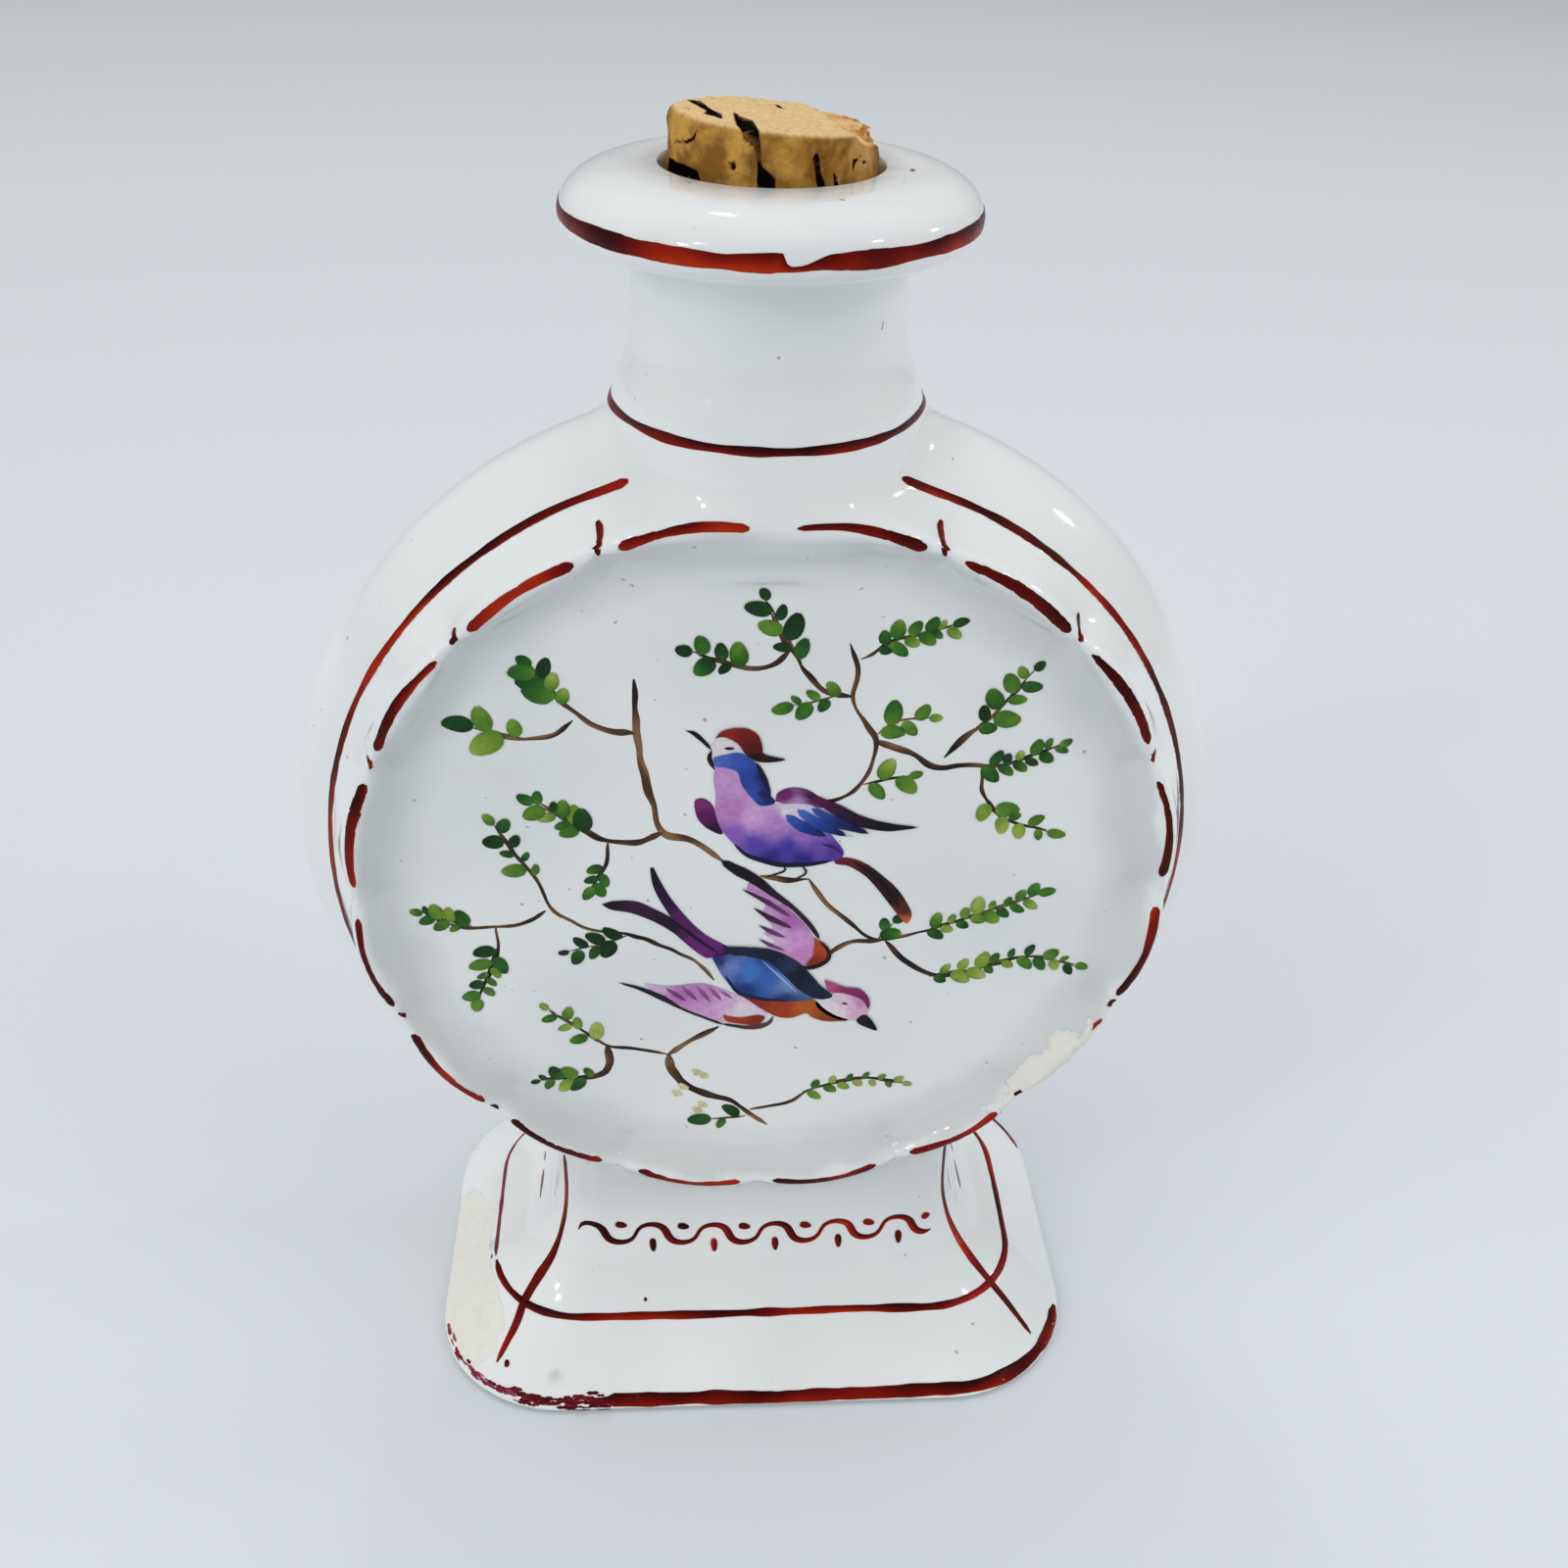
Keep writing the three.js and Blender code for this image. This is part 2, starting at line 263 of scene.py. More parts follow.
def apply_modifier(thing: bpy.types.Object, kind: str, **settings: object) -> None:
    """Adds a modifier with its settings and applies it.

    Args:
        thing: The object to change.
        kind: Blender's name of the modifier type.
        **settings: Values set on the modifier.
    """
    pick(thing)
    modifier = thing.modifiers.new(kind.lower(), kind)
    for key, value in settings.items():
        setattr(modifier, key, value)
    bpy.ops.object.modifier_apply(modifier=modifier.name)


def join(name: str, things: list[bpy.types.Object]) -> bpy.types.Object:
    """Joins objects into the first one.

    Args:
        name: Name of the result.
        things: The objects.

    Returns:
        The joined object.
    """
    pick(things[0])
    for thing in things[1:]:
        thing.select_set(True)
    bpy.ops.object.join()
    things[0].name = name
    return things[0]


def places(thing: bpy.types.Object) -> np.ndarray:
    """Gives the places of a mesh's points in millimetres.

    Args:
        thing: The mesh object.

    Returns:
        One row for each point.
    """
    flat = np.empty(len(thing.data.vertices) * 3)
    thing.data.vertices.foreach_get("co", flat)
    return flat.reshape(-1, 3) / MM


def set_places(thing: bpy.types.Object, points: np.ndarray) -> None:
    """Moves a mesh's points.

    Args:
        thing: The mesh object.
        points: New places in millimetres.
    """
    thing.data.vertices.foreach_set("co", (points * MM).ravel())
    thing.data.update()


def finish_smooth(thing: bpy.types.Object, degrees: float) -> None:
    """Shades a mesh smooth, apart from edges sharper than an angle.

    Args:
        thing: The mesh object.
        degrees: The angle.
    """
    pick(thing)
    bpy.ops.object.shade_smooth_by_angle(angle=math.radians(degrees))


def mark_points(thing: bpy.types.Object, **measures: Placing) -> None:
    """Stores values at a mesh's points, for its material to read.

    Args:
        thing: The mesh object.
        **measures: Functions that give one value for each place, by the attribute's name.
    """
    for name, measure in measures.items():
        layer = thing.data.attributes.new(name, "FLOAT", "POINT")
        layer.data.foreach_set("value", measure(places(thing)))


def relax(points: np.ndarray, edges: np.ndarray, share: float) -> np.ndarray:
    """Moves each point part of the way to the middle of its neighbours.

    Args:
        points: Places, one row each.
        edges: Pairs of point numbers.
        share: How far to move, from 0 to 1.

    Returns:
        The new places.
    """
    total = np.zeros_like(points)
    count = np.zeros(len(points))
    for near, far in ((0, 1), (1, 0)):
        np.add.at(total, edges[:, near], points[edges[:, far]])
        np.add.at(count, edges[:, near], 1.0)
    return points + share * (total / count[:, None] - points)


class ImplicitForm:
    """A form given by a distance field, with a mesh fitted to it."""

    def distance(self, points: np.ndarray) -> np.ndarray:
        """Signed distance in millimetres, negative inside.

        Args:
            points: Places in millimetres.

        Returns:
            One distance for each place.
        """
        raise NotImplementedError

    def settle(self, points: np.ndarray, rounds: int, reach: float = 0.6) -> np.ndarray:
        """Moves points onto the surface.

        Args:
            points: Places in millimetres.
            rounds: How many steps to take.
            reach: Longest step in millimetres.

        Returns:
            The new places.
        """
        probe = 0.05
        for _ in range(rounds):
            value = self.distance(points)
            slope = np.empty_like(points)
            for axis in range(3):
                shift = np.zeros(3)
                shift[axis] = probe
                ahead = self.distance(points + shift)
                slope[:, axis] = (ahead - self.distance(points - shift)) / (2.0 * probe)
            steep = np.maximum((slope * slope).sum(axis=1), 0.05)
            step = (value / steep)[:, None] * slope
            length = np.maximum(np.linalg.norm(step, axis=1, keepdims=True), 1e-9)
            points = points - step * np.minimum(1.0, reach / length)
        return points

    def fit(self, rough: bpy.types.Object, voxel: float, passes: int) -> None:
        """Remeshes a rough form evenly and lays it on the surface.

        Args:
            rough: The rough mesh.
            voxel: Mesh size in millimetres.
            passes: Rounds of relaxing and settling.
        """
        apply_modifier(rough, "REMESH", mode="VOXEL", voxel_size=voxel * MM)
        edges = np.empty(len(rough.data.edges) * 2, int)
        rough.data.edges.foreach_get("vertices", edges)
        edges = edges.reshape(-1, 2)
        points = self.settle(places(rough), 3)
        for _ in range(passes):
            points = self.settle(relax(points, edges, 0.5), 1)
        set_places(rough, points)


# The porcelain body


@dataclass
class Drum:
    """The flat round body with a lobed ring round each face. Its axis runs along Y."""

    height: float
    band_radius: float
    edge_radius: float = 43.8
    half_band: float = 7.8
    ring_radius: float = 41.1
    ring_depth: float = 14.3
    ring_outer: float = 42.2
    shoulder: float = 12.0
    plate_radius: float = 35.6
    plate_depth: float = 11.5
    lobes: int = 16
    pinch: float = 1.25

    def half_profile(self) -> list[tuple[float, float]]:
        """Radius and depth along one half of the drum, from the plate's edge to the band's middle.

        Returns:
            The points as pairs.
        """
        plate = (self.plate_radius, self.plate_depth)
        inner = (self.ring_radius - 1.2, self.ring_depth - 0.25)
        outer = (self.ring_outer, self.shoulder)
        valley = (self.edge_radius - 0.35, self.half_band + 0.5)
        cove = ((plate[0] + self.ring_radius) / 2 - 0.2, self.plate_depth)
        crest = (self.ring_outer - 0.3, self.ring_depth + 0.45)
        points = [plate]
        points += bezier([plate, cove, inner], 8)
        points += bezier([inner, crest, outer], 10)
        points += bezier([outer, (self.ring_outer + 0.6, self.half_band + 2.4), valley], 5)
        depths = np.linspace(self.half_band - 0.3, 0.0, 9)
        swell = (self.band_radius - self.edge_radius) / self.half_band**2
        points += [(self.band_radius - swell * depth**2, depth) for depth in depths]
        return points

    def profile(self) -> np.ndarray:
        """The whole profile from the front of the axis to its back.

        Returns:
            Rows of radius and place along Y.
        """
        half = self.half_profile()
        front = [(0.01, -self.plate_depth)] + [(radius, -depth) for radius, depth in half[:-1]]
        return np.array(front + [(radius, depth) for radius, depth in front_to_back(half)])

    def distance(self, points: np.ndarray) -> np.ndarray:
        """Signed distance from the drum.

        Args:
            points: Places in millimetres.

        Returns:
            One distance for each place.
        """
        radius = np.hypot(points[:, 0], points[:, 2] - self.height)
        depth = np.abs(points[:, 1])
        far = -2.0 * self.band_radius
        outline = [(far, self.plate_depth)] + self.half_profile() + [(self.band_radius, far), (far, far)]
        plain = outline_distance(radius, depth, np.array(outline))
        return plain + self.pinch_at(points, radius, depth)

    def pinch_at(self, points: np.ndarray, radius: np.ndarray, depth: np.ndarray) -> np.ndarray:
        """How far the rings are drawn in between their lobes.

        Args:
            points: Places in millimetres.
            radius: Their distances from the axis.
            depth: Their distances from the middle plane.

        Returns:
            One depth for each place.
        """
        turn = np.arctan2(points[:, 0], points[:, 2] - self.height)
        lobe = np.abs(np.sin(turn * self.lobes / 2)) ** 0.55
        ring = smooth_step(radius, self.plate_radius + 0.5, self.ring_radius - 1.5)
        ring *= smooth_step(depth, self.half_band, self.shoulder - 0.8)
        crown = self.height + self.band_radius - 12.0
        free = 1.0 - 0.75 * smooth_step(points[:, 2], crown, crown + 8.0)
        return self.pinch * ring * free * (1.0 - lobe)

    def rough(self) -> bpy.types.Object:
        """Adds a plain mesh of the drum.

        Returns:
            The mesh object.
        """
        return turned("drum", self.profile(), 128, upright=False, lift=self.height)


def front_to_back(half: list[tuple[float, float]]) -> list[tuple[float, float]]:
    """The back half of a mirrored profile, from the band's middle to the axis.

    Args:
        half: The front half, from the plate's edge to the band's middle.

    Returns:
        The points as pairs.
    """
    return list(reversed(half)) + [(0.01, half[0][1])]


@dataclass
class Foot:
    """The flared foot: rounded rectangles from the table up to the waist."""

    width: float
    depth: float
    waist_height: float
    corner: float = 15.5
    edge_height: float = 1.3
    edge_round: float = 0.9
    ridge_width: float = 63.4
    ridge_depth: float = 35.0
    ridge_corner: float = 11.0
    ridge_height: float = 6.7
    waist_width: float = 46.4
    waist_depth: float = 23.8
    waist_corner: float = 5.5
    flare_power: float = 4.3

    def sections(self, heights: np.ndarray) -> np.ndarray:
        """Half width, half depth and corner radius at some heights.

        Args:
            heights: Heights in millimetres.

        Returns:
            One row for each height.
        """
        edge = np.array([self.width / 2, self.depth / 2, self.corner])
        ridge = np.array([self.ridge_width / 2, self.ridge_depth / 2, self.ridge_corner])
        waist = np.array([self.waist_width / 2, self.waist_depth / 2, self.waist_corner])
        low = np.clip(heights / self.edge_height, 0.0, 1.0)[:, None]
        slope = np.clip((heights - self.edge_height) / (self.ridge_height - self.edge_height), 0, 1)
        rise = np.clip((heights - self.ridge_height) / (self.waist_height - self.ridge_height), 0, 1)
        spread = ((1.0 - rise) ** self.flare_power)[:, None]
        border = edge + (ridge - edge) * slope[:, None]
        rounding = self.edge_round * (1.0 - np.sqrt(np.maximum(1.0 - (1.0 - low) ** 2, 0.0)))
        flare = waist + (ridge - waist) * spread
        return np.where(heights[:, None] > self.ridge_height, flare, border - rounding)

    def distance(self, points: np.ndarray) -> np.ndarray:
        """Signed distance from the foot.

        Args:
            points: Places in millimetres.

        Returns:
            One distance for each place.
        """
        table = np.linspace(0.0, self.waist_height, 240)
        sections = self.sections(table)
        kernel = np.array([0.07, 0.12, 0.19, 0.24, 0.19, 0.12, 0.07])
        padded = np.pad(sections, ((3, 3), (0, 0)), mode="edge")
        soft = np.stack([np.convolve(padded[:, k], kernel, mode="valid") for k in range(3)], axis=1)
        heights = np.clip(points[:, 2], 0.0, self.waist_height)
        half = np.stack([np.interp(heights, table, soft[:, k]) for k in range(3)], axis=1)
        steep = np.interp(heights, table, np.gradient(soft[:, 0], table))
        over = np.abs(points[:, :2]) - (half[:, :2] - half[:, 2:])
        outside = np.linalg.norm(np.maximum(over, 0.0), axis=1)
        level = outside + np.minimum(over.max(axis=1), 0.0) - half[:, 2]
        side = level / np.sqrt(1.0 + steep * steep)
        return np.maximum(side, np.maximum(-points[:, 2], points[:, 2] - self.waist_height))

    def rough(self) -> bpy.types.Object:
        """Adds a plain mesh of the foot.

        Returns:
            The mesh object.
        """
        rows = [0.0, 0.6, self.edge_height, 4.0, self.ridge_height]
        rows += np.linspace(self.ridge_height, self.waist_height, 12)[1:].tolist()
        rings = []
        for height, (half_width, half_depth, corner) in zip(rows, self.sections(np.array(rows))):
            for quadrant in range(4):
                turn = (quadrant + np.linspace(0.0, 1.0, 9)) * math.pi / 2
                side_x = 1 if quadrant in (0, 3) else -1
                side_y = 1 if quadrant < 2 else -1
                x = side_x * (half_width - corner) + corner * np.cos(turn)
                y = side_y * (half_depth - corner) + corner * np.sin(turn)
                rings.append(np.stack([x, y, np.full(9, height)], axis=1))
        return add_mesh("foot", np.concatenate(rings), grid_faces(len(rows), 36))


@dataclass
class Neck:
    """The neck and its cushion lip, turned about Z."""

    root: float
    flare_base: float
    lip_base: float
    lip_top: float
    foot_radius: float = 14.1
    radius: float = 12.4
    flare: float = 7.2
    lip_radius: float = 18.4
    lip_edge: float = 2.3
    crown_radius: float = 13.2
    fillet: float = 1.9

    def profile(self) -> np.ndarray:
        """The profile from the root inside the drum up to the top of the lip.

        Returns:
            Rows of radius and height.
        """
        foot = (self.foot_radius, self.flare_base)
        throat = (self.radius, self.flare_base + self.flare)
        middle = ((self.foot_radius + self.radius) / 2, self.flare_base + self.flare * 0.47)
        under = (self.radius + self.fillet, self.lip_base)
        edge = (self.lip_radius, self.lip_base + self.lip_edge)
        crown = (self.crown_radius, self.lip_top - 0.1)
        points = [(0.01, self.root), (self.radius, self.root), (self.foot_radius, self.root + 3.0), foot]
        points += bezier([foot, (self.foot_radius, self.flare_base + 1.6), middle], 6)
        points += bezier([middle, (self.radius, throat[1] - 2.2), throat], 6)
        points.append((self.radius, self.lip_base - self.fillet))
        points += bezier([points[-1], (self.radius, self.lip_base), under], 5)
        points += bezier([under, (self.lip_radius - 0.1, self.lip_base + 0.2), edge], 8)
        points += bezier([edge, (self.lip_radius, self.lip_top - 0.8), crown], 10)
        points += [(8.0, self.lip_top), (0.01, self.lip_top)]
        return np.array(points)

    def distance(self, points: np.ndarray) -> np.ndarray:
        """Signed distance from the neck and lip.

        Args:
            points: Places in millimetres.

        Returns:
            One distance for each place.
        """
        outline = self.profile()
        outline[[0, -1], 0] = -2.0 * self.lip_radius
        return outline_distance(np.hypot(points[:, 0], points[:, 1]), points[:, 2], outline)

    def rough(self) -> bpy.types.Object:
        """Adds a plain mesh of the neck and lip.

        Returns:
            The mesh object.
        """
        return turned("neck", self.profile(), 96, upright=True)


@dataclass
class Chip:
    """A flake knocked off one lobe of the front ring: its glaze is gone and its crest cut flat."""

    drum: Drum
    turn: float = 127.4
    radius: float = 40.9
    half_length: float = 7.2
    half_width: float = 2.7
    depth: float = 0.25
    crest: tuple[float, float] = (42.15, 12.95)
    facing: tuple[float, float] = (0.62, 0.78)

    def inside(self, points: np.ndarray) -> np.ndarray:
        """How far each place lies inside the edge of the scar.

        Args:
            points: Places in millimetres.

        Returns:
            Distances in millimetres, negative outside it.
        """
        x, y, z = points.T
        height = z - self.drum.height
        along = self.drum.ring_radius * (np.arctan2(x, height) - math.radians(self.turn))
        across = np.hypot(x, height) - self.radius
        reach = np.hypot(along / self.half_length, across / self.half_width)
        edge = (1.0 - reach) * self.half_width + 0.45 * ripple(points, 4.5, 12, 4)
        return np.minimum(edge, -y - self.drum.half_band)

    def amount(self, points: np.ndarray) -> np.ndarray:
        """Share of the glaze that is gone at each place, from 0 to 1."""
        return smooth_step(self.inside(points), -0.2, 0.2)

    def cut(self, points: np.ndarray) -> np.ndarray:
        """How far each place lies inside the flake that is gone.

        Args:
            points: Places in millimetres.

        Returns:
            Depths in millimetres, negative outside the flake.
        """
        radius = np.hypot(points[:, 0], points[:, 2] - self.drum.height)
        plane = (radius - self.crest[0]) * self.facing[0] - (points[:, 1] + self.crest[1]) * self.facing[1]
        return np.minimum(plane + 0.16 * ripple(points, 3.0, 11, 4), self.inside(points) + 0.3)


@dataclass
class GlazeLoss:
    """A place on the foot's border where the glaze has flaked away, by its outline seen from above."""

    outline: list[tuple[float, float]]
    depth: float
    bare: float
    ceiling: float = 6.5

    def amount(self, points: np.ndarray) -> np.ndarray:
        """Share of the glaze that is gone at each place.

        Args:
            points: Places in millimetres.

        Returns:
            Values from 0, whole, to 1, gone. The edge is at 0.5.
        """
        inside = -outline_distance(points[:, 0], points[:, 1], np.array(self.outline))
        inside = np.minimum(inside, self.ceiling - points[:, 2])
        return smooth_step(inside + 0.35 * ripple(points, 3.0, 21, 4), -0.3, 0.3)


@dataclass
class Soil:
    """A smudge in the glaze: its place, its size and how dark it is."""

    place: tuple[float, float, float]
    size: float
    strength: float


@dataclass
class FlaskBody(ImplicitForm):
    """The whole porcelain body: drum, foot and neck in one casting, hollow inside."""

    drum: Drum
    foot: Foot
    neck: Neck
    chip: Chip
    losses: list[GlazeLoss]
    soils: list[Soil]
    bore_radius: float = 9.6
    mouth_round: float = 0.3
    wall: float = 3.0
    voxel: float = 0.7
    neck_fillet: float = 3.2
    foot_fillet: float = 3.0

    def distance(self, points: np.ndarray) -> np.ndarray:
        """Signed distance from the body's outside.

        Args:
            points: Places in millimetres.

        Returns:
            One distance for each place.
        """
        whole = smooth_union(self.drum.distance(points), self.neck.distance(points), self.neck_fillet)
        whole = smooth_union(whole, self.foot.distance(points), self.foot_fillet)
        whole = np.maximum(whole, self.chip.cut(points)) + self.chip.depth * self.chip.amount(points)
        for loss in self.losses:
            whole = whole + loss.depth * loss.amount(points)
        return whole

    def bareness(self, points: np.ndarray) -> np.ndarray:
        """Where the white glaze is missing and the cream body shows.

        Args:
            points: Places on the surface, in millimetres.

        Returns:
            Values from 0, glazed, to 1, bare.
        """
        bare = self.chip.amount(points)
        for loss in self.losses:
            bare = np.maximum(bare, loss.bare * loss.amount(points))
        return bare

    def soiling(self, points: np.ndarray) -> np.ndarray:
        """Where grime shows in the glaze: round the mouth and in a few smudges.

        Args:
            points: Places on the surface, in millimetres.

        Returns:
            Values from 0, clean, to 1.
        """
        mouth = smooth_step(self.bore_radius + 2.4 - np.hypot(points[:, 0], points[:, 1]), 0.0, 1.8)
        grime = 0.32 * mouth * smooth_step(points[:, 2], self.neck.lip_top - 2.0, self.neck.lip_top - 1.0)
        for soil in self.soils:
            gap = np.linalg.norm(points - np.array(soil.place), axis=1) + 0.3 * soil.size * ripple(points, 2.0, 5)
            grime = np.maximum(grime, soil.strength * smooth_step(soil.size - gap, 0.0, soil.size * 0.7))
        return grime

    def glaze_pool_and_shade(self, points: np.ndarray) -> np.ndarray:
        """Where grey is painted in, for thick gathered glaze and painted shade: in the cove round each plate and at
        the waist under the drum.

        Args:
            points: Places on the surface, in millimetres.

        Returns:
            Values from 0, thin glaze and no painted shade, to 1.
        """
        height = points[:, 2] - self.drum.height
        radius = np.hypot(points[:, 0], height) + 0.5 * ripple(points, 9.0, 6)
        # Painted shade with thick glaze in the cove, where the raised ring shades the plate.
        cove = smooth_step(radius, 33.0, 38.5) * (1.0 - smooth_step(radius, 39.6, 40.8))
        facing = smooth_step(np.abs(points[:, 1]), self.drum.half_band + 1.0, self.drum.plate_depth - 0.5)
        # Painted shade under the drum, where it meets the foot.
        waist = smooth_step(points[:, 2], self.foot.waist_height - 13.0, self.foot.waist_height - 3.0)
        waist *= smooth_step(self.foot.waist_height + 4.0 - points[:, 2], 0.0, 1.0)
        waist *= smooth_step(radius, 42.0, 43.0)
        return np.maximum(0.4 * cove * facing, 0.28 * waist)

    def hollow(self) -> bpy.types.Object:
        """Adds the hollow of the drum and foot, a wall's thickness inside them.

        Returns:
            The mesh object.
        """
        drum, foot, wall = self.drum, self.foot, self.wall
        depth = drum.plate_depth - wall
        rim = (drum.ring_radius, depth - wall)
        half = [(drum.plate_radius - wall / 2, depth)]
        half += bezier([half[0], (drum.ring_radius - 1.0, depth), rim], 4)
        middle = (drum.band_radius - wall, 0.0)
        half += bezier([rim, (middle[0], depth / 3), middle], 5)
        front = [(0.01, -depth)] + [(radius, -place) for radius, place in half[:-1]]
        profile = np.array(front + front_to_back(half))
        inside = turned("drum_hollow", profile, 64, upright=False, lift=drum.height)
        inner = Foot(
            width=foot.width - 2 * wall - 5.0,
            depth=foot.depth - 2 * wall - 7.0,
            waist_height=foot.waist_height + 6.0,
            corner=foot.corner - wall,
            ridge_width=foot.ridge_width - 2 * wall,
            ridge_depth=foot.ridge_depth - 2 * wall,
            ridge_corner=foot.ridge_corner - wall,
            waist_width=foot.waist_width - 2 * wall,
            waist_depth=2 * depth,
            waist_corner=2.5,
        ).rough()
        points = places(inner)
        points[:, 2] = np.maximum(points[:, 2], wall + 1.2)
        set_places(inner, points)
        whole = join("hollow", [inside, inner])
        apply_modifier(whole, "REMESH", mode="VOXEL", voxel_size=1.5 * MM)
        return whole

    def bore(self) -> bpy.types.Object:
        """Adds the bore down the neck, with a rounded mouth.

        Returns:
            The mesh object.
        """
        top = self.neck.lip_top
        start = (self.bore_radius, top - self.mouth_round - 0.4)
        mouth = (self.bore_radius + self.mouth_round, top + 0.05)
        profile = [(0.01, self.drum.height), (self.bore_radius, self.drum.height), start]
        profile += bezier([start, (self.bore_radius + 0.1, top - 0.1), mouth], 8)
        profile += [(mouth[0] + 0.4, top + 4.0), (0.01, top + 4.0)]
        return turned("bore", np.array(profile), 128, upright=True)

    def recess(self) -> bpy.types.Object:
        """Adds the shallow recess under the foot.

        Returns:
            The mesh object.
        """
        inset = 2 * (self.foot.edge_round + 5.0)
        shallow = Foot(
            width=self.foot.width - inset,
            depth=self.foot.depth - inset,
            waist_height=1.2,
            corner=self.foot.corner - inset / 2,
            edge_height=0.01,
            edge_round=0.0,
            ridge_height=0.02,
            ridge_width=self.foot.width - inset - 2.4,
            ridge_depth=self.foot.depth - inset - 2.4,
            ridge_corner=self.foot.corner - inset / 2,
            waist_width=self.foot.width - inset - 2.4,
            waist_depth=self.foot.depth - inset - 2.4,
            waist_corner=self.foot.corner - inset / 2,
        ).rough()
        points = places(shallow)
        columns = 36
        heights = np.linspace(-1.0, 1.2, len(points) // columns)
        points[:, 2] = np.repeat(heights, columns)
        set_places(shallow, points)
        return shallow

    def build(self) -> bpy.types.Object:
        """Builds the body.

        Returns:
            The finished mesh object, with its bare and soiled places as point attributes.
        """
        parts = [self.drum.rough(), self.foot.rough(), self.neck.rough()]
        body = join("porcelain_body", parts)
        self.fit(body, self.voxel, passes=3)
        for tool in (self.hollow(), self.bore(), self.recess()):
            apply_modifier(body, "BOOLEAN", operation="DIFFERENCE", object=tool, solver="MANIFOLD")
            bpy.data.objects.remove(tool, do_unlink=True)
        finish_smooth(body, 40.0)
        # Marks where the glaze is bare, soiled, and greyed by thick glaze and painted shade.
        mark_points(body, bare=self.bareness, soil=self.soiling, pooled=self.glaze_pool_and_shade)
        return body


# The cork


@dataclass
class Crack:
    """A split in the cork, by its outline on the cork's skin laid flat. It closes inwards."""

    outline: list[tuple[float, float]]
    closing: float = 0.3

    def inside(self, flat: np.ndarray) -> np.ndarray:
        """How far each place on the flat skin lies inside the outline."""
        return -outline_distance(flat[:, 0], flat[:, 1], np.array(self.outline))

    def opening(self, flat: np.ndarray, inward: np.ndarray) -> np.ndarray:
        """How far each place lies inside the split.

        Args:
            flat: Places on the skin laid flat.
            inward: Their depths under the skin.

        Returns:
            Distances in millimetres, negative outside it.
        """
        return self.inside(flat) - self.closing * np.maximum(inward, 0.0)


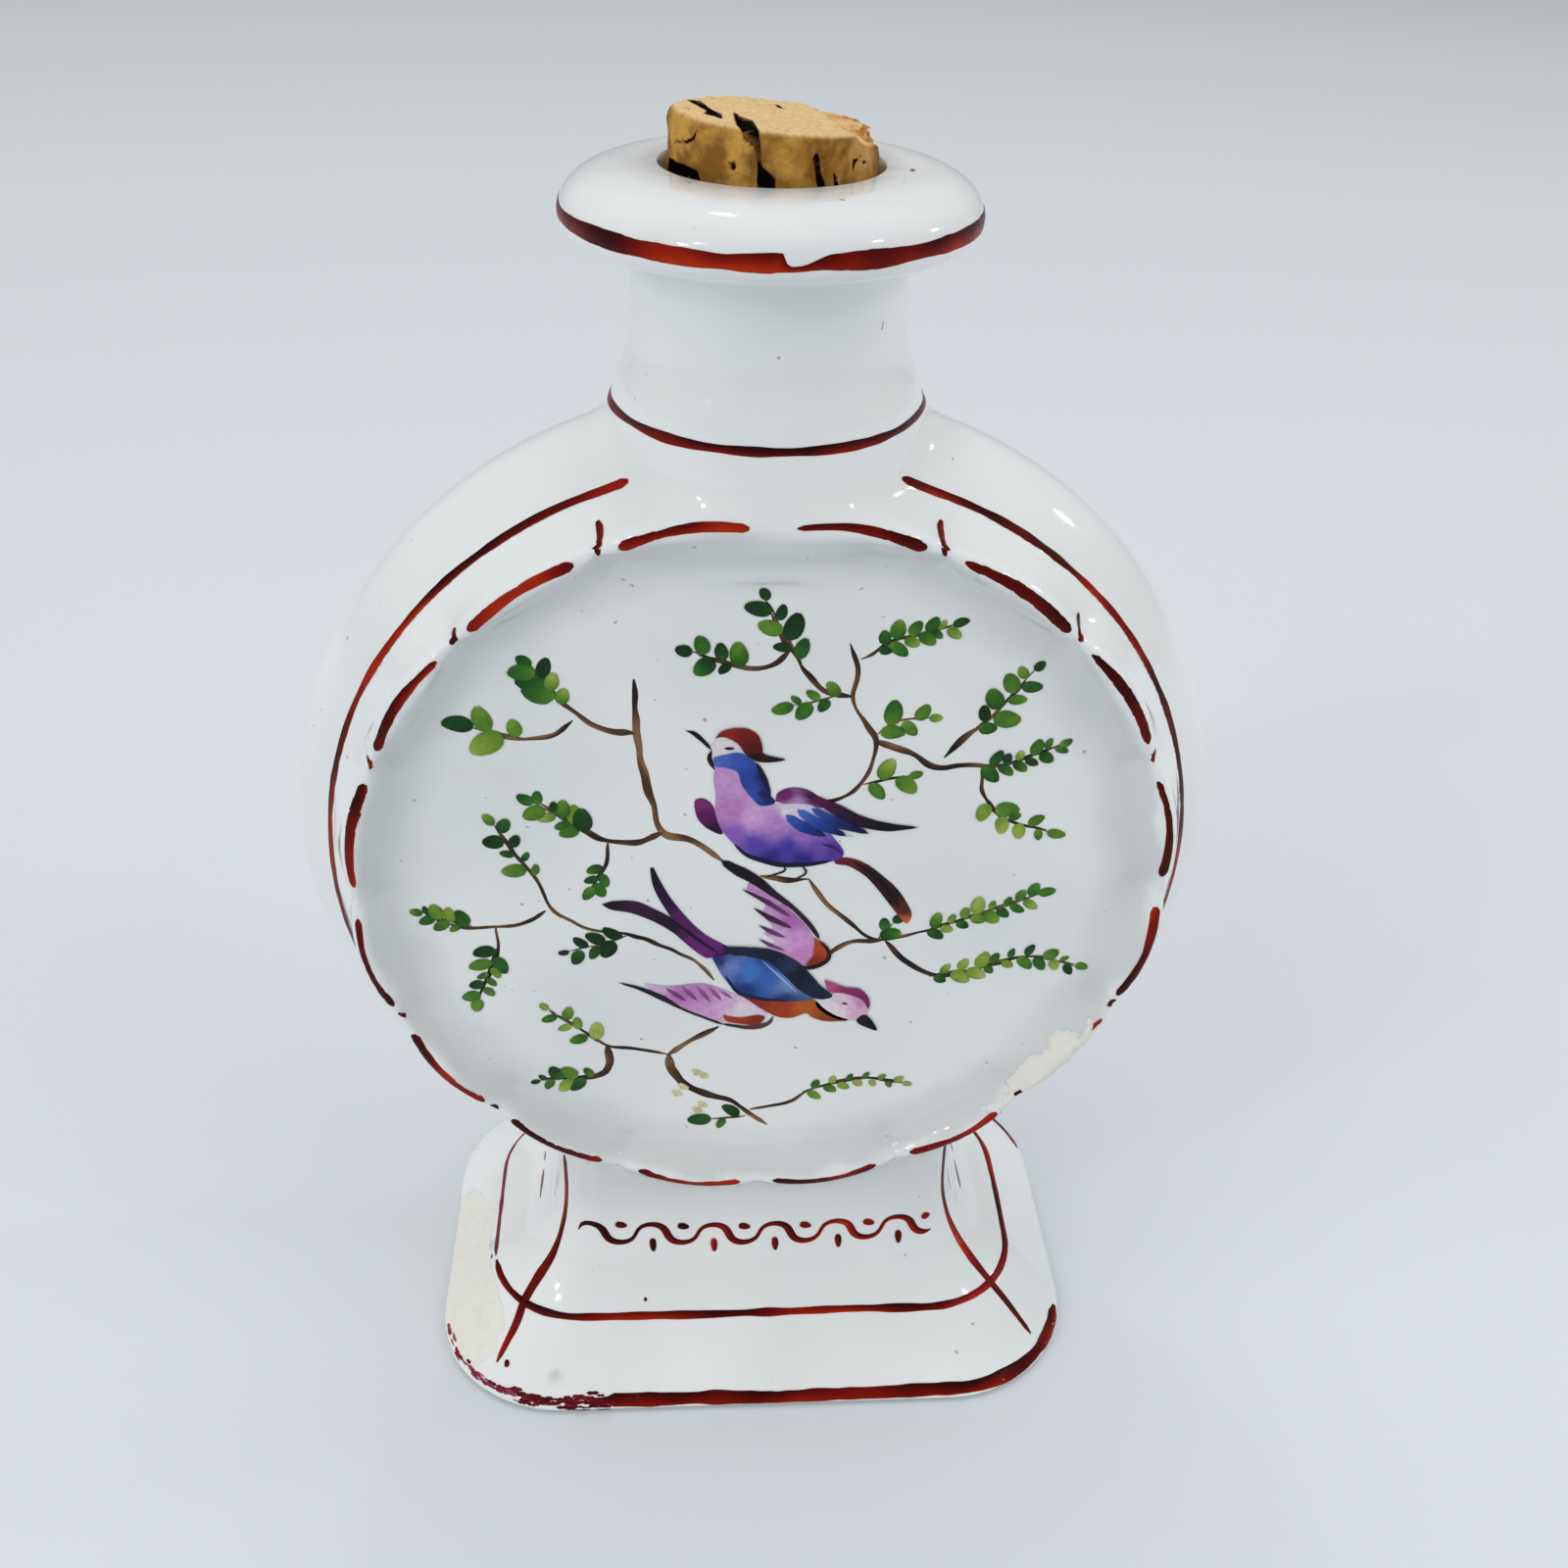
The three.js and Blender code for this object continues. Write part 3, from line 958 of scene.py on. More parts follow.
@dataclass
class Cork(ImplicitForm):
    """The tapered stopper: cracked, a little askew on top and broken away on its right side."""

    lip_top: float
    top: float
    tip: float
    centre: float = 0.05
    radius: float = 8.95
    tip_radius: float = 8.4
    falls: tuple[float, float] = (0.08, 0.038)
    head_drop: float = 0.82
    break_start: float = 4.7
    break_slope: float = 0.5
    voxel: float = 0.2
    cracks: list[Crack] = field(default_factory=lambda: [
        Crack([(-3.5, -1.2), (-3.4, -7.5), (-3.0, -9.3), (-2.3, -10.1), (-2.2, -10.8), (-1.8, -10.9),
               (-1.7, -9.1), (-2.0, -4.7), (-2.8, -3.8)]),
        Crack([(-2.1, -10.6), (-1.7, -11.7), (-1.0, -12.1), (-0.4, -12.6), (-0.4, -14.0), (-2.4, -14.0),
               (-2.5, -12.6), (-2.3, -11.9)]),
        Crack([(-7.3, 3.3), (-6.2, 3.2), (-5.4, -0.3), (-4.6, -2.5), (-4.5, -5.2), (-5.1, -4.4), (-5.9, -3.6),
               (-5.7, -1.9), (-6.5, 0.7)]),
        Crack([(-12.9, -1.9), (-11.9, -5.1), (-10.5, -7.5), (-9.4, -9.1), (-9.9, -10.6), (-14.5, -5.0),
               (-14.5, 0.0)]),
        Crack([(-7.1, -6.8), (-8.0, -7.05), (-9.1, -6.4), (-11.3, -3.6), (-9.1, -6.05), (-8.0, -6.7)], 2.0),
        Crack([(3.5, -9.6), (3.3, -10.3), (3.7, -10.9), (4.6, -11.9), (5.2, -13.0), (6.3, -12.5), (5.4, -11.4),
               (4.5, -10.7), (3.9, -9.9)]),
        Crack([(6.0, -10.1), (6.5, -10.1), (7.6, -10.6), (8.2, -11.4), (7.4, -11.8), (6.7, -10.8)]),
        Crack([(8.35, -6.5), (8.1, -7.6), (8.3, -8.5), (7.95, -8.1), (7.6, -7.7), (8.0, -7.3)], 2.0),
        Crack([(8.9, -6.5), (9.5, -5.7), (9.2, -6.6)], 2.0),
        Crack([(0.4, 5.9), (0.85, 5.0), (1.1, 3.4), (0.7, 4.0)], 1.0),
        Crack([(-5.2, -10.7), (-4.6, -10.9), (-4.7, -11.4), (-5.1, -11.2)], 2.0),
    ])

    def lid(self, x: np.ndarray, y: np.ndarray) -> np.ndarray:
        """Height of the sloping top over places seen from above."""
        return self.top - self.head_drop - self.falls[0] * x - self.falls[1] * y

    def laid_flat(self, points: np.ndarray) -> tuple[np.ndarray, np.ndarray]:
        """Lays the cork's skin flat: the top stays as it is and the side folds up round it.

        Args:
            points: Places in millimetres.

        Returns:
            The flat places, and the depths under the skin.
        """
        x, y = points[:, 0] - self.centre, points[:, 1]
        radius = np.maximum(np.hypot(x, y), 0.01)
        down = self.lid(x, y) - points[:, 2]
        reach = (radius + down) / radius
        return np.stack([x * reach, y * reach], axis=1), np.minimum(self.radius - radius, down)

    def distance(self, points: np.ndarray) -> np.ndarray:
        """Signed distance from the cork.

        Args:
            points: Places in millimetres.

        Returns:
            One distance for each place.
        """
        x, y, z = points[:, 0] - self.centre, points[:, 1], points[:, 2]
        turn = np.arctan2(y, x)
        share = np.clip((z - self.tip) / (self.lip_top - self.tip), 0.0, 1.0)
        side = self.tip_radius + (self.radius - self.tip_radius) * share
        lumps = 0.10 * ripple(points, 3.5, 31, 4) + 0.07 * np.sin(3.0 * turn + 0.7)
        wall = np.hypot(x, y) - side - lumps
        lid = self.lid(x, y)
        top = z - lid - 0.05 * ripple(points, 2.5, 32, 4) + 0.06
        whole = -smooth_union(-wall, -top, 0.5 + 0.9 * smooth_step(-x, 3.0, 8.5))
        past = x - (self.break_start - 0.17 * y + 0.35 * ripple(points, 3.5, 33, 3))
        drop = np.maximum(past, 0.0) * self.break_slope
        flake = smooth_step(y + 1.14 * x, 8.6, 9.4) * smooth_step(8.3 + 0.6 * ripple(points, 2.0, 35) - x, 0.0, 0.6)
        drop = drop + (0.25 + 0.10 * past - drop) * flake
        torn = z - lid + drop - 0.15 * ripple(points, 2.6, 34, 4)
        whole = np.maximum(whole, np.where(past > 0.0, torn * 0.85, -1.0))
        whole = np.maximum(whole, self.tip - z)
        flat, inward = self.laid_flat(points)
        for crack in self.cracks:
            whole = np.maximum(whole, crack.opening(flat, inward))
        return whole

    def crack_shade(self, points: np.ndarray) -> np.ndarray:
        """How deep in a crack each place lies, for the brown and the painted shade down the cracks.

        Args:
            points: Places on the surface, in millimetres.

        Returns:
            Values from 0, outside every crack, to 1.
        """
        flat, _ = self.laid_flat(points)
        return np.max([smooth_step(crack.inside(flat), -0.10, 0.10) for crack in self.cracks], axis=0)

    def torn(self, points: np.ndarray) -> np.ndarray:
        """Where the broken, more orange cork shows.

        Args:
            points: Places on the surface, in millimetres.

        Returns:
            Values from 0 to 1.
        """
        x, y = points[:, 0] - self.centre, points[:, 1]
        past = x - (self.break_start - 0.17 * y)
        below = smooth_step(self.lid(x, y) - points[:, 2], 0.12, 0.5)
        inside = smooth_step(self.radius - np.hypot(x, y), -0.05, 0.45)
        return below * inside * smooth_step(past, -0.3, 0.6)

    def head(self, points: np.ndarray) -> np.ndarray:
        """Where the paler top shows, from 0 to 1."""
        x, y = points[:, 0] - self.centre, points[:, 1]
        return smooth_step(points[:, 2] - self.lid(x, y) + 0.45, 0.0, 0.35)

    def build(self) -> bpy.types.Object:
        """Builds the cork.

        Returns:
            The finished mesh object, with its crack, torn and head places as point attributes.
        """
        head = self.top - 0.3
        profile = [(0.01, self.tip), (self.tip_radius, self.tip), (self.radius, self.lip_top),
                   (self.radius, head), (0.01, head)]
        cork = turned("cork_stopper", np.array(profile), 96, upright=True)
        points = places(cork)
        points[:, 2] = np.minimum(points[:, 2], self.lid(points[:, 0], points[:, 1]))
        points[:, 0] += self.centre
        set_places(cork, points)
        self.fit(cork, self.voxel, passes=2)
        finish_smooth(cork, 50.0)
        # The crack attribute carries the painted shade down the cracks.
        mark_points(cork, crack=self.crack_shade, torn=self.torn, head=self.head)
        return cork


# Painting


def linear(code: str) -> tuple[float, float, float]:
    """Turns an sRGB hex colour into linear values.

    Args:
        code: Six hex digits after a hash sign.

    Returns:
        Red, green and blue from 0 to 1.
    """
    values = [int(code[k : k + 2], 16) / 255 for k in (1, 3, 5)]
    return tuple(v / 12.92 if v <= 0.04045 else ((v + 0.055) / 1.055) ** 2.4 for v in values)


def blend_colours(codes: list[str], shares: np.ndarray) -> np.ndarray:
    """Colours along a row of hex colours.

    Args:
        codes: The row of colours.
        shares: Places along it, from 0 to 1.

    Returns:
        One linear colour for each place.
    """
    row = np.array([linear(code) for code in codes])
    marks = np.linspace(0.0, 1.0, len(codes))
    return np.stack([np.interp(shares, marks, row[:, k]) for k in range(3)], axis=1)


def curve_through(points: list[tuple[float, ...]], step: float) -> np.ndarray:
    """A smooth curve through points, with even steps.

    Args:
        points: The points, of two or three numbers each.
        step: Length of a step.

    Returns:
        The curve's points, one row each.
    """
    knots = np.array(points, float)
    if len(knots) > 2:
        ends = np.vstack([2 * knots[0] - knots[1], knots, 2 * knots[-1] - knots[-2]])
        share = np.linspace(0.0, 1.0, 12, endpoint=False)[:, None]
        spans = []
        for before, start, end, after in zip(ends, ends[1:], ends[2:], ends[3:]):
            bend = 2 * before - 5 * start + 4 * end - after
            twist = -before + 3 * start - 3 * end + after
            spans.append(0.5 * (2 * start + (end - before) * share + bend * share**2 + twist * share**3))
        knots = np.vstack(spans + [knots[-1:]])
    lengths = np.concatenate([[0.0], np.cumsum(np.linalg.norm(np.diff(knots, axis=0), axis=1))])
    count = max(int(round(lengths[-1] / step)), 2)
    marks = np.linspace(0.0, lengths[-1], count + 1)
    return np.stack([np.interp(marks, lengths, knots[:, k]) for k in range(knots.shape[1])], axis=1)


def shaded_across(codes: tuple[str, ...], load: np.ndarray, tilt: np.ndarray) -> np.ndarray:
    """Colours of a stroke whose paint lies thicker along one edge.

    Args:
        codes: Colours from thin to thick paint.
        load: Thickness along the path, from 0 to 1.
        tilt: How much thicker it is at one edge, along the path.

    Returns:
        Linear colours at each point of the path and place across it.
    """
    shares = np.clip(load[:, None] + tilt[:, None] * ACROSS, 0.0, 1.0)
    return blend_colours(list(codes), shares.ravel()).reshape(len(load), len(ACROSS), 3)


def tapered(count: int, start: float, reach: float) -> np.ndarray:
    """Shares of a stroke's width that round off both its ends.

    Args:
        count: Number of points along the stroke.
        start: Share at its very ends.
        reach: Number of points that the taper takes.

    Returns:
        One share for each point.
    """
    ends = np.minimum(np.arange(count), np.arange(count)[::-1])
    return np.clip(start + ends / reach, 0.0, 1.0)


@dataclass
class Paint:
    """A layer of enamel: thin films laid on the porcelain, joined into one mesh."""

    name: str
    surface: BVHTree
    film: float = 0.035
    points: list[np.ndarray] = field(default_factory=list)
    colours: list[np.ndarray] = field(default_factory=list)
    faces: list[tuple[int, ...]] = field(default_factory=list)
    count: int = 0

    def laid(self, point: np.ndarray, lift: float) -> tuple[np.ndarray, np.ndarray]:
        """Lays a point on the porcelain.

        Args:
            point: A place near the surface, in millimetres.
            lift: Height above the surface.

        Returns:
            The place on the surface, lifted, and the surface's normal.
        """
        place, normal, _, _ = self.surface.find_nearest(Vector(point * MM))
        facing = np.array(normal)
        return np.array(place) / MM + facing * lift, facing

    def add(self, points: np.ndarray, colours: np.ndarray, faces: list[tuple[int, ...]]) -> None:
        """Adds points with their colours, and faces numbered from the first of them.

        Args:
            points: Places in millimetres.
            colours: Linear colours.
            faces: Faces as tuples of point numbers.
        """
        self.points.append(points)
        self.colours.append(colours)
        self.faces += [tuple(corner + self.count for corner in face) for face in faces]
        self.count += len(points)

    def stroke(
        self,
        path: np.ndarray,
        widths: np.ndarray,
        colours: np.ndarray,
        layer: int = 0,
        closed: bool = False,
    ) -> None:
        """Paints one brush stroke.

        Args:
            path: Its middle line, near the surface.
            widths: Width at each point of the path.
            colours: Linear colour at each point of the path, or at each point and place across it.
            layer: Number of layers of paint already under it.
            closed: Whether the stroke runs round to its start.
        """
        spine = [self.laid(point, 0.0) for point in path]
        middle = np.array([place for place, _ in spine])
        facing = np.array([normal for _, normal in spine])
        ahead = np.roll(middle, -1, axis=0) - np.roll(middle, 1, axis=0)
        if not closed:
            ahead[0] = middle[1] - middle[0]
            ahead[-1] = middle[-1] - middle[-2]
        side = np.cross(facing, ahead)
        side /= np.maximum(np.linalg.norm(side, axis=1, keepdims=True), 1e-9)
        rows = []
        for place, aside, width in zip(middle, side, widths):
            for share in ACROSS:
                lift = self.film * (1.0 + 0.55 * layer - 0.5 * share * share)
                rows.append(self.laid(place + aside * share * width / 2, lift)[0])
        faces = []
        columns = len(ACROSS)
        last = len(path) if closed else len(path) - 1
        for row in range(last):
            following = (row + 1) % len(path)
            for column in range(columns - 1):
                here, there = row * columns + column, following * columns + column
                faces.append((here, there, there + 1, here + 1))
        if colours.ndim == 2:
            colours = np.repeat(colours[:, None, :], columns, axis=1)
        self.add(np.array(rows), colours.reshape(-1, 3), faces)

    def patch(
        self, outline: np.ndarray, colours_at: Placing, to_plate: Placing, layer: int, grain: float = 0.35
    ) -> None:
        """Fills an outline on the picture plate.

        Args:
            outline: The closed outline as rows of X and height over the drum's middle.
            colours_at: Function that gives colours for such rows.
            to_plate: Function that gives the places of such rows.
            layer: Number of layers of paint already under it.
            grain: Spacing of the points inside.
        """
        low, high = outline.min(axis=0), outline.max(axis=0)
        across = np.arange(low[0] + grain / 2, high[0], grain)
        up = np.arange(low[1] + grain / 2, high[1], grain)
        inner = np.stack(np.meshgrid(across, up), axis=2).reshape(-1, 2)
        inner = inner[outline_distance(inner[:, 0], inner[:, 1], outline) < -0.35 * grain]
        flat = np.vstack([outline, inner])
        loop = [(k, (k + 1) % len(outline)) for k in range(len(outline))]
        found = delaunay_2d_cdt([Vector(p) for p in flat], loop, [list(range(len(outline)))], 1, 1e-4)
        spots = np.array([tuple(p) for p in found[0]])
        lift = self.film * (1.0 + 0.55 * layer)
        points = np.array([self.laid(place, lift)[0] for place in to_plate(spots)])
        faces = [tuple(face) if turn_sign(spots[list(face)]) > 0 else tuple(face)[::-1] for face in found[2]]
        self.add(points, colours_at(spots), faces)

    def build(self) -> bpy.types.Object:
        """Makes the mesh.

        Returns:
            The mesh object, with its colours as a point attribute.
        """
        thing = add_mesh(self.name, np.concatenate(self.points), self.faces)
        colours = np.concatenate(self.colours)
        layer = thing.data.color_attributes.new("paint", "FLOAT_COLOR", "POINT")
        layer.data.foreach_set("color", np.hstack([colours, np.ones((len(colours), 1))]).ravel())
        thing.data.polygons.foreach_set("use_smooth", [True] * len(thing.data.polygons))
        return thing


def turn_sign(corners: np.ndarray) -> float:
    """Tells which way a flat face's corners run.

    Args:
        corners: Rows of X and height.

    Returns:
        Twice the signed area: above 0 where the face looks out of the front.
    """
    x, z = corners.T
    return float(np.sum(x * np.roll(z, -1) - np.roll(x, -1) * z))


@dataclass
class RedLines:
    """The iron-red brush lines that follow the lip, neck, band, rings and foot."""

    body: FlaskBody
    tone_row: tuple[str, ...] = ("#b02c05", "#921704", "#6c0b02", "#460502", "#2a0202")
    left_corner: tuple[tuple[float, ...], ...] = (
        (22.5, 9.6, 25.5), (22.4, 9.7, 21.2), (22.6, 9.9, 17.7), (23.2, 10.4, 14.4), (24.3, 11.6, 11.1),
        (25.9, 12.9, 8.8), (27.4, 14.7, 6.9), (28.3, 16.7, 5.6), (29.5, 18.5, 4.2), (30.7, 20.4, 2.9))
    right_corner: tuple[tuple[float, ...], ...] = (
        (22.3, 9.9, 26.0), (22.5, 9.8, 19.3), (23.5, 10.0, 15.2), (25.0, 10.9, 11.4), (26.5, 12.0, 9.3),
        (28.0, 13.2, 7.8), (29.3, 14.4, 6.7), (30.9, 15.9, 5.4), (33.2, 18.4, 2.6))
    lip_width: float = 1.4
    thin_width: float = 0.85
    dash_width: float = 1.15
    ridge_width: float = 0.9
    base_width: float = 1.5
    scroll_period: float = 7.28
    scroll_swing: float = 1.3
    scroll_crest: float = -19.6
    tick_reach: tuple[float, ...] = (0, 4.6, 4.2, 2.4, 0, 1.2, 1.0, 0, 0, 0, 1.0, 1.2, 0, 2.4, 2.8, 4.6)

    def tones(self, points: np.ndarray, seed: int) -> np.ndarray:
        """Colours along a line, thin and orange in places and dark where the paint lies thick.

        Args:
            points: Places in millimetres.
            seed: Seed of the changes.

        Returns:
            Linear colours at each place and across the line.
        """
        load = 0.56 + 0.42 * ripple(points, 17.0, seed, 3)
        tilt = 0.24 + 0.2 * ripple(points, 18.0, seed + 1, 2)
        return shaded_across(self.tone_row, np.clip(load, 0.05, 1.0), tilt)

    def line(
        self,
        paint: Paint,
        path: np.ndarray,
        width: float | np.ndarray,
        seed: int,
        closed: bool,
        wander: float = 0.12,
    ) -> None:
        """Paints a line with a hand's small changes of width and place.

        Args:
            paint: The layer to paint in.
            path: Its middle line.
            width: Its mean width, or its width at each point.
            seed: Seed of the changes.
            closed: Whether it runs round to its start.
            wander: How far it strays from its path.
        """
        strayed = path + wander * np.stack([ripple(path, 22.0, seed + k, 2) for k in range(3)], axis=1)
        widths = width * (1.0 + 0.18 * ripple(path, 7.0, seed + 5, 3))
        tones = self.tones(path, seed + 6)
        glazed = self.body.bareness(path) < 0.5
        if closed and glazed.all():
            paint.stroke(strayed, widths, tones, closed=True)
            return
        breaks = np.flatnonzero(np.diff(glazed.astype(int))) + 1
        for run in np.split(np.arange(len(path)), breaks):
            if glazed[run[0]] and len(run) > 3:
                paint.stroke(strayed[run], widths[run] * tapered(len(run), 0.35, 3.0), tones[run])

    def circle(
        self, paint: Paint, radius: float, height: float, width: float, seed: int, notch: float = 0.0
    ) -> None:
        """Paints a line round the neck or lip.

        Args:
            paint: The layer to paint in.
            radius: Its radius.
            height: Its height.
            width: Its width.
            seed: Seed of its changes.
            notch: Share of its width rubbed off at the front, abruptly on the left.
        """
        turn = np.linspace(0.0, 2.0 * math.pi, int(radius * 14), endpoint=False)
        path = np.stack([radius * np.cos(turn), radius * np.sin(turn), np.full(len(turn), height)], axis=1)
        along = radius * (turn - 1.5 * math.pi)
        lost = notch * smooth_step(along, -0.3, 0.3) * (1.0 - smooth_step(along, 0.9, 4.2))
        path[:, 2] -= 0.5 * width * lost
        self.line(paint, path, width * (1.0 - lost), seed, closed=True)

    def band_line(self, paint: Paint, side: int, seed: int) -> None:
        """Paints the line along one edge of the drum's band, open at the neck and foot.

        Args:
            paint: The layer to paint in.
            side: -1 for the front and 1 for the back.
            seed: Seed of its changes.
        """
        drum = self.body.drum
        turn = np.radians(np.linspace(14.5, 343.7, 620))
        height = drum.height + drum.edge_radius * np.cos(turn)
        x = drum.edge_radius * np.sin(turn)
        keep = height > self.body.foot.waist_height - 6.5
        for part in (keep & (x > 0), keep & (x < 0)):
            path = np.stack([x[part], np.full(part.sum(), side * drum.half_band), height[part]], axis=1)
            self.line(paint, path, self.thin_width, seed, closed=False)

    def ring_lines(self, paint: Paint, side: int, seed: int) -> None:
        """Paints one curved dash on each lobe of a ring and short ticks between them.

        Args:
            paint: The layer to paint in.
            side: -1 for the front and 1 for the back.
            seed: Seed of their changes.
        """
        drum = self.body.drum
        random = np.random.default_rng(seed)
        lobe = 2.0 * math.pi / drum.lobes
        depth = side * drum.ring_depth
        steps = 42
        for number in range(drum.lobes):
            start, end = number * lobe, (number + 1) * lobe
            trim = random.uniform(0.036, 0.056, 2)
            turn = np.linspace(start + trim[0], end - trim[1], steps)
            bow = np.sin((turn - start) / lobe * math.pi)
            radius = drum.ring_radius - 0.75 + 0.8 * bow + random.uniform(-0.12, 0.12)
            x, z = radius * np.sin(turn), drum.height + radius * np.cos(turn)
            path = np.stack([x, np.full(len(turn), depth), z], axis=1)
            press = random.uniform(0.45, 1.0, 3)
            swell = np.interp(np.linspace(0.0, 1.0, steps), (0.0, 0.5, 1.0), press / press.max())
            self.line(paint, path, self.dash_width * swell, seed + number, closed=False, wander=0.08)
            reach = self.tick_reach[number]
            if reach:
                self.tick(paint, start, side, reach, seed + number)

    def tick(self, paint: Paint, turn: float, side: int, reach: float, seed: int) -> None:
        """Paints a short stroke outwards between two lobes.

        Args:
            paint: The layer to paint in.
            turn: Its angle from the top.
            side: -1 for the front and 1 for the back.
            reach: Its length in millimetres.
            seed: Seed of its changes.
        """
        drum = self.body.drum
        shares = np.linspace(0.0, reach, 10)
        radius = drum.ring_radius - 0.6 + 0.75 * shares
        depth = drum.ring_depth - 0.1 - 0.8 * np.maximum(shares - 1.0, 0.0)
        lean = turn - 0.012 * math.copysign(1.0, math.sin(turn)) * shares / reach
        x, z = radius * np.sin(lean), drum.height + radius * np.cos(lean)
        path = np.stack([x, side * depth, z], axis=1)
        widths = np.linspace(0.55, 0.8, 10)
        widths[[0, -1]] *= 0.5
        paint.stroke(path, widths, self.tones(path, seed + 40), layer=1)

    def foot_loop(self, height: float, inset: float) -> np.ndarray:
        """A line round the foot.

        Args:
            height: Its height.
            inset: How far it lies inside the foot's section at that height.

        Returns:
            Its points.
        """
        half_x, half_y, corner = self.body.foot.sections(np.array([height]))[0]
        half_x, half_y, corner = half_x - inset, half_y - inset, max(corner - inset, 0.5)
        loop = []
        for quadrant in range(4):
            turn = (quadrant + np.linspace(0.0, 1.0, 13)) * math.pi / 2
            side_x = 1 if quadrant in (0, 3) else -1
            side_y = 1 if quadrant < 2 else -1
            x = side_x * (half_x - corner) + corner * np.cos(turn)
            y = side_y * (half_y - corner) + corner * np.sin(turn)
            loop += np.stack([x, y, np.full(13, height)], axis=1).tolist()
        closed = np.array(loop + loop[:1])
        marks = np.concatenate([[0.0], np.cumsum(np.linalg.norm(np.diff(closed, axis=0), axis=1))])
        even = np.arange(0.0, marks[-1], 0.6)
        return np.stack([np.interp(even, marks, closed[:, k]) for k in range(3)], axis=1)

    def corner_line(self, paint: Paint, side_x: int, side_y: int, seed: int) -> None:
        """Paints the line down one corner of the foot.

        Args:
            paint: The layer to paint in.
            side_x: 1 for the right side and -1 for the left.
            side_y: -1 for the front and 1 for the back.
            seed: Seed of its changes.
        """
        marks = self.right_corner if side_x > 0 else self.left_corner
        path = curve_through([(side_x * x, side_y * y, z) for x, y, z in marks], 0.5)
        if side_x < 0 < side_y:
            path = path[path[:, 2] > 7.0]
        widths = np.interp(path[:, 2], (2.5, 5.0, 9.0, 14.0), (0.6, 0.9, 1.05, 0.75))
        self.line(paint, path, widths, seed, closed=False)
        if side_y < 0:
            faint = [(26.1, -5.0, 11.2), (26.1, -1.1, 11.1), (26.3, 2.6, 11.0)]
            path = curve_through([(side_x * x, side_y * y, z) for x, y, z in faint], 0.5)
            self.faint(paint, path[:4])
            self.faint(paint, path[6:])

    def faint(self, paint: Paint, path: np.ndarray, width: float = 0.32, tone: str = "#8d6a70") -> None:
        """Paints the thin purple ghost of a line that has worn away.

        Args:
            paint: The layer to paint in.
            path: Its middle line.
            width: Its width.
            tone: Its colour.
        """
        colours = np.tile(blend_colours([tone], np.zeros(1)), (len(path), 1))
        paint.stroke(path, width * (1.0 + 0.3 * ripple(path, 5.0, 77)) * tapered(len(path), 0.4, 3.0), colours)

    def scroll(self, paint: Paint, side: int, seed: int) -> None:
        """Paints the running scroll between the foot's corners, with its dots and drops.

        Args:
            paint: The layer to paint in.
            side: -1 for the front and 1 for the back.
            seed: Seed of its changes.
        """
        foot = self.body.foot
        period, crest = self.scroll_period, self.scroll_crest
        x = np.linspace(-21.4, 21.0, 160)
        depth = side * foot.sections(np.array([15.0]))[0, 1]
        phase = 2.0 * math.pi * (x - crest) / period + math.pi / 2
        flat = np.stack([x, x * 0, x * 0], axis=1)
        wave = self.scroll_height(x) + 0.15 * ripple(flat, 14.0, seed) + self.scroll_swing * np.sin(phase)
        path = np.stack([x - 0.3 * np.sin(2 * phase), np.full(len(x), depth), wave], axis=1)
        swell = 0.7 * (1.0 - 0.35 * np.cos(phase))
        paint.stroke(path, swell * tapered(len(x), 0.3, 5.0), self.tones(path, seed))
        random = np.random.default_rng(seed)
        for number in range(6):
            place = crest + period * number + random.uniform(-0.25, 0.25)
            base = self.scroll_height(place)
            self.dab(paint, (place + period / 2 - 0.65, depth, base + 1.2), (1.3, -0.3), 0.95, side, seed + number)
            if number:
                self.dab(paint, (place, depth, base - 0.6), (0.1, -1.7), 0.8, side, seed + number + 20)

    def scroll_height(self, x: float | np.ndarray) -> float | np.ndarray:
        """Height of the scroll's middle, a little higher towards its ends."""
        return 14.85 + 0.75 * (x / 20.0) ** 2

    def dab(
        self,
        paint: Paint,
        place: tuple[float, float, float],
        run: tuple[float, float],
        width: float,
        side: int,
        seed: int,
    ) -> None:
        """Paints a short drop of paint, thin where the brush lands and round where it lifts.

        Args:
            paint: The layer to paint in.
            place: Its start.
            run: How far it goes across and up.
            width: Its greatest width.
            side: -1 for the front and 1 for the back.
            seed: Seed of its tone.
        """
        shares = np.linspace(0.0, 1.0, 8)
        outwards = -side * 0.28 * run[1] * shares
        offset = np.stack([run[0] * shares, outwards, run[1] * shares], axis=1)
        widths = width * np.sqrt(np.sin(np.clip(0.06 + 0.9 * shares**0.8, 0.0, 1.0) * math.pi))
        path = np.array(place) + offset
        paint.stroke(path, widths, self.tones(path, seed + 9), layer=1)

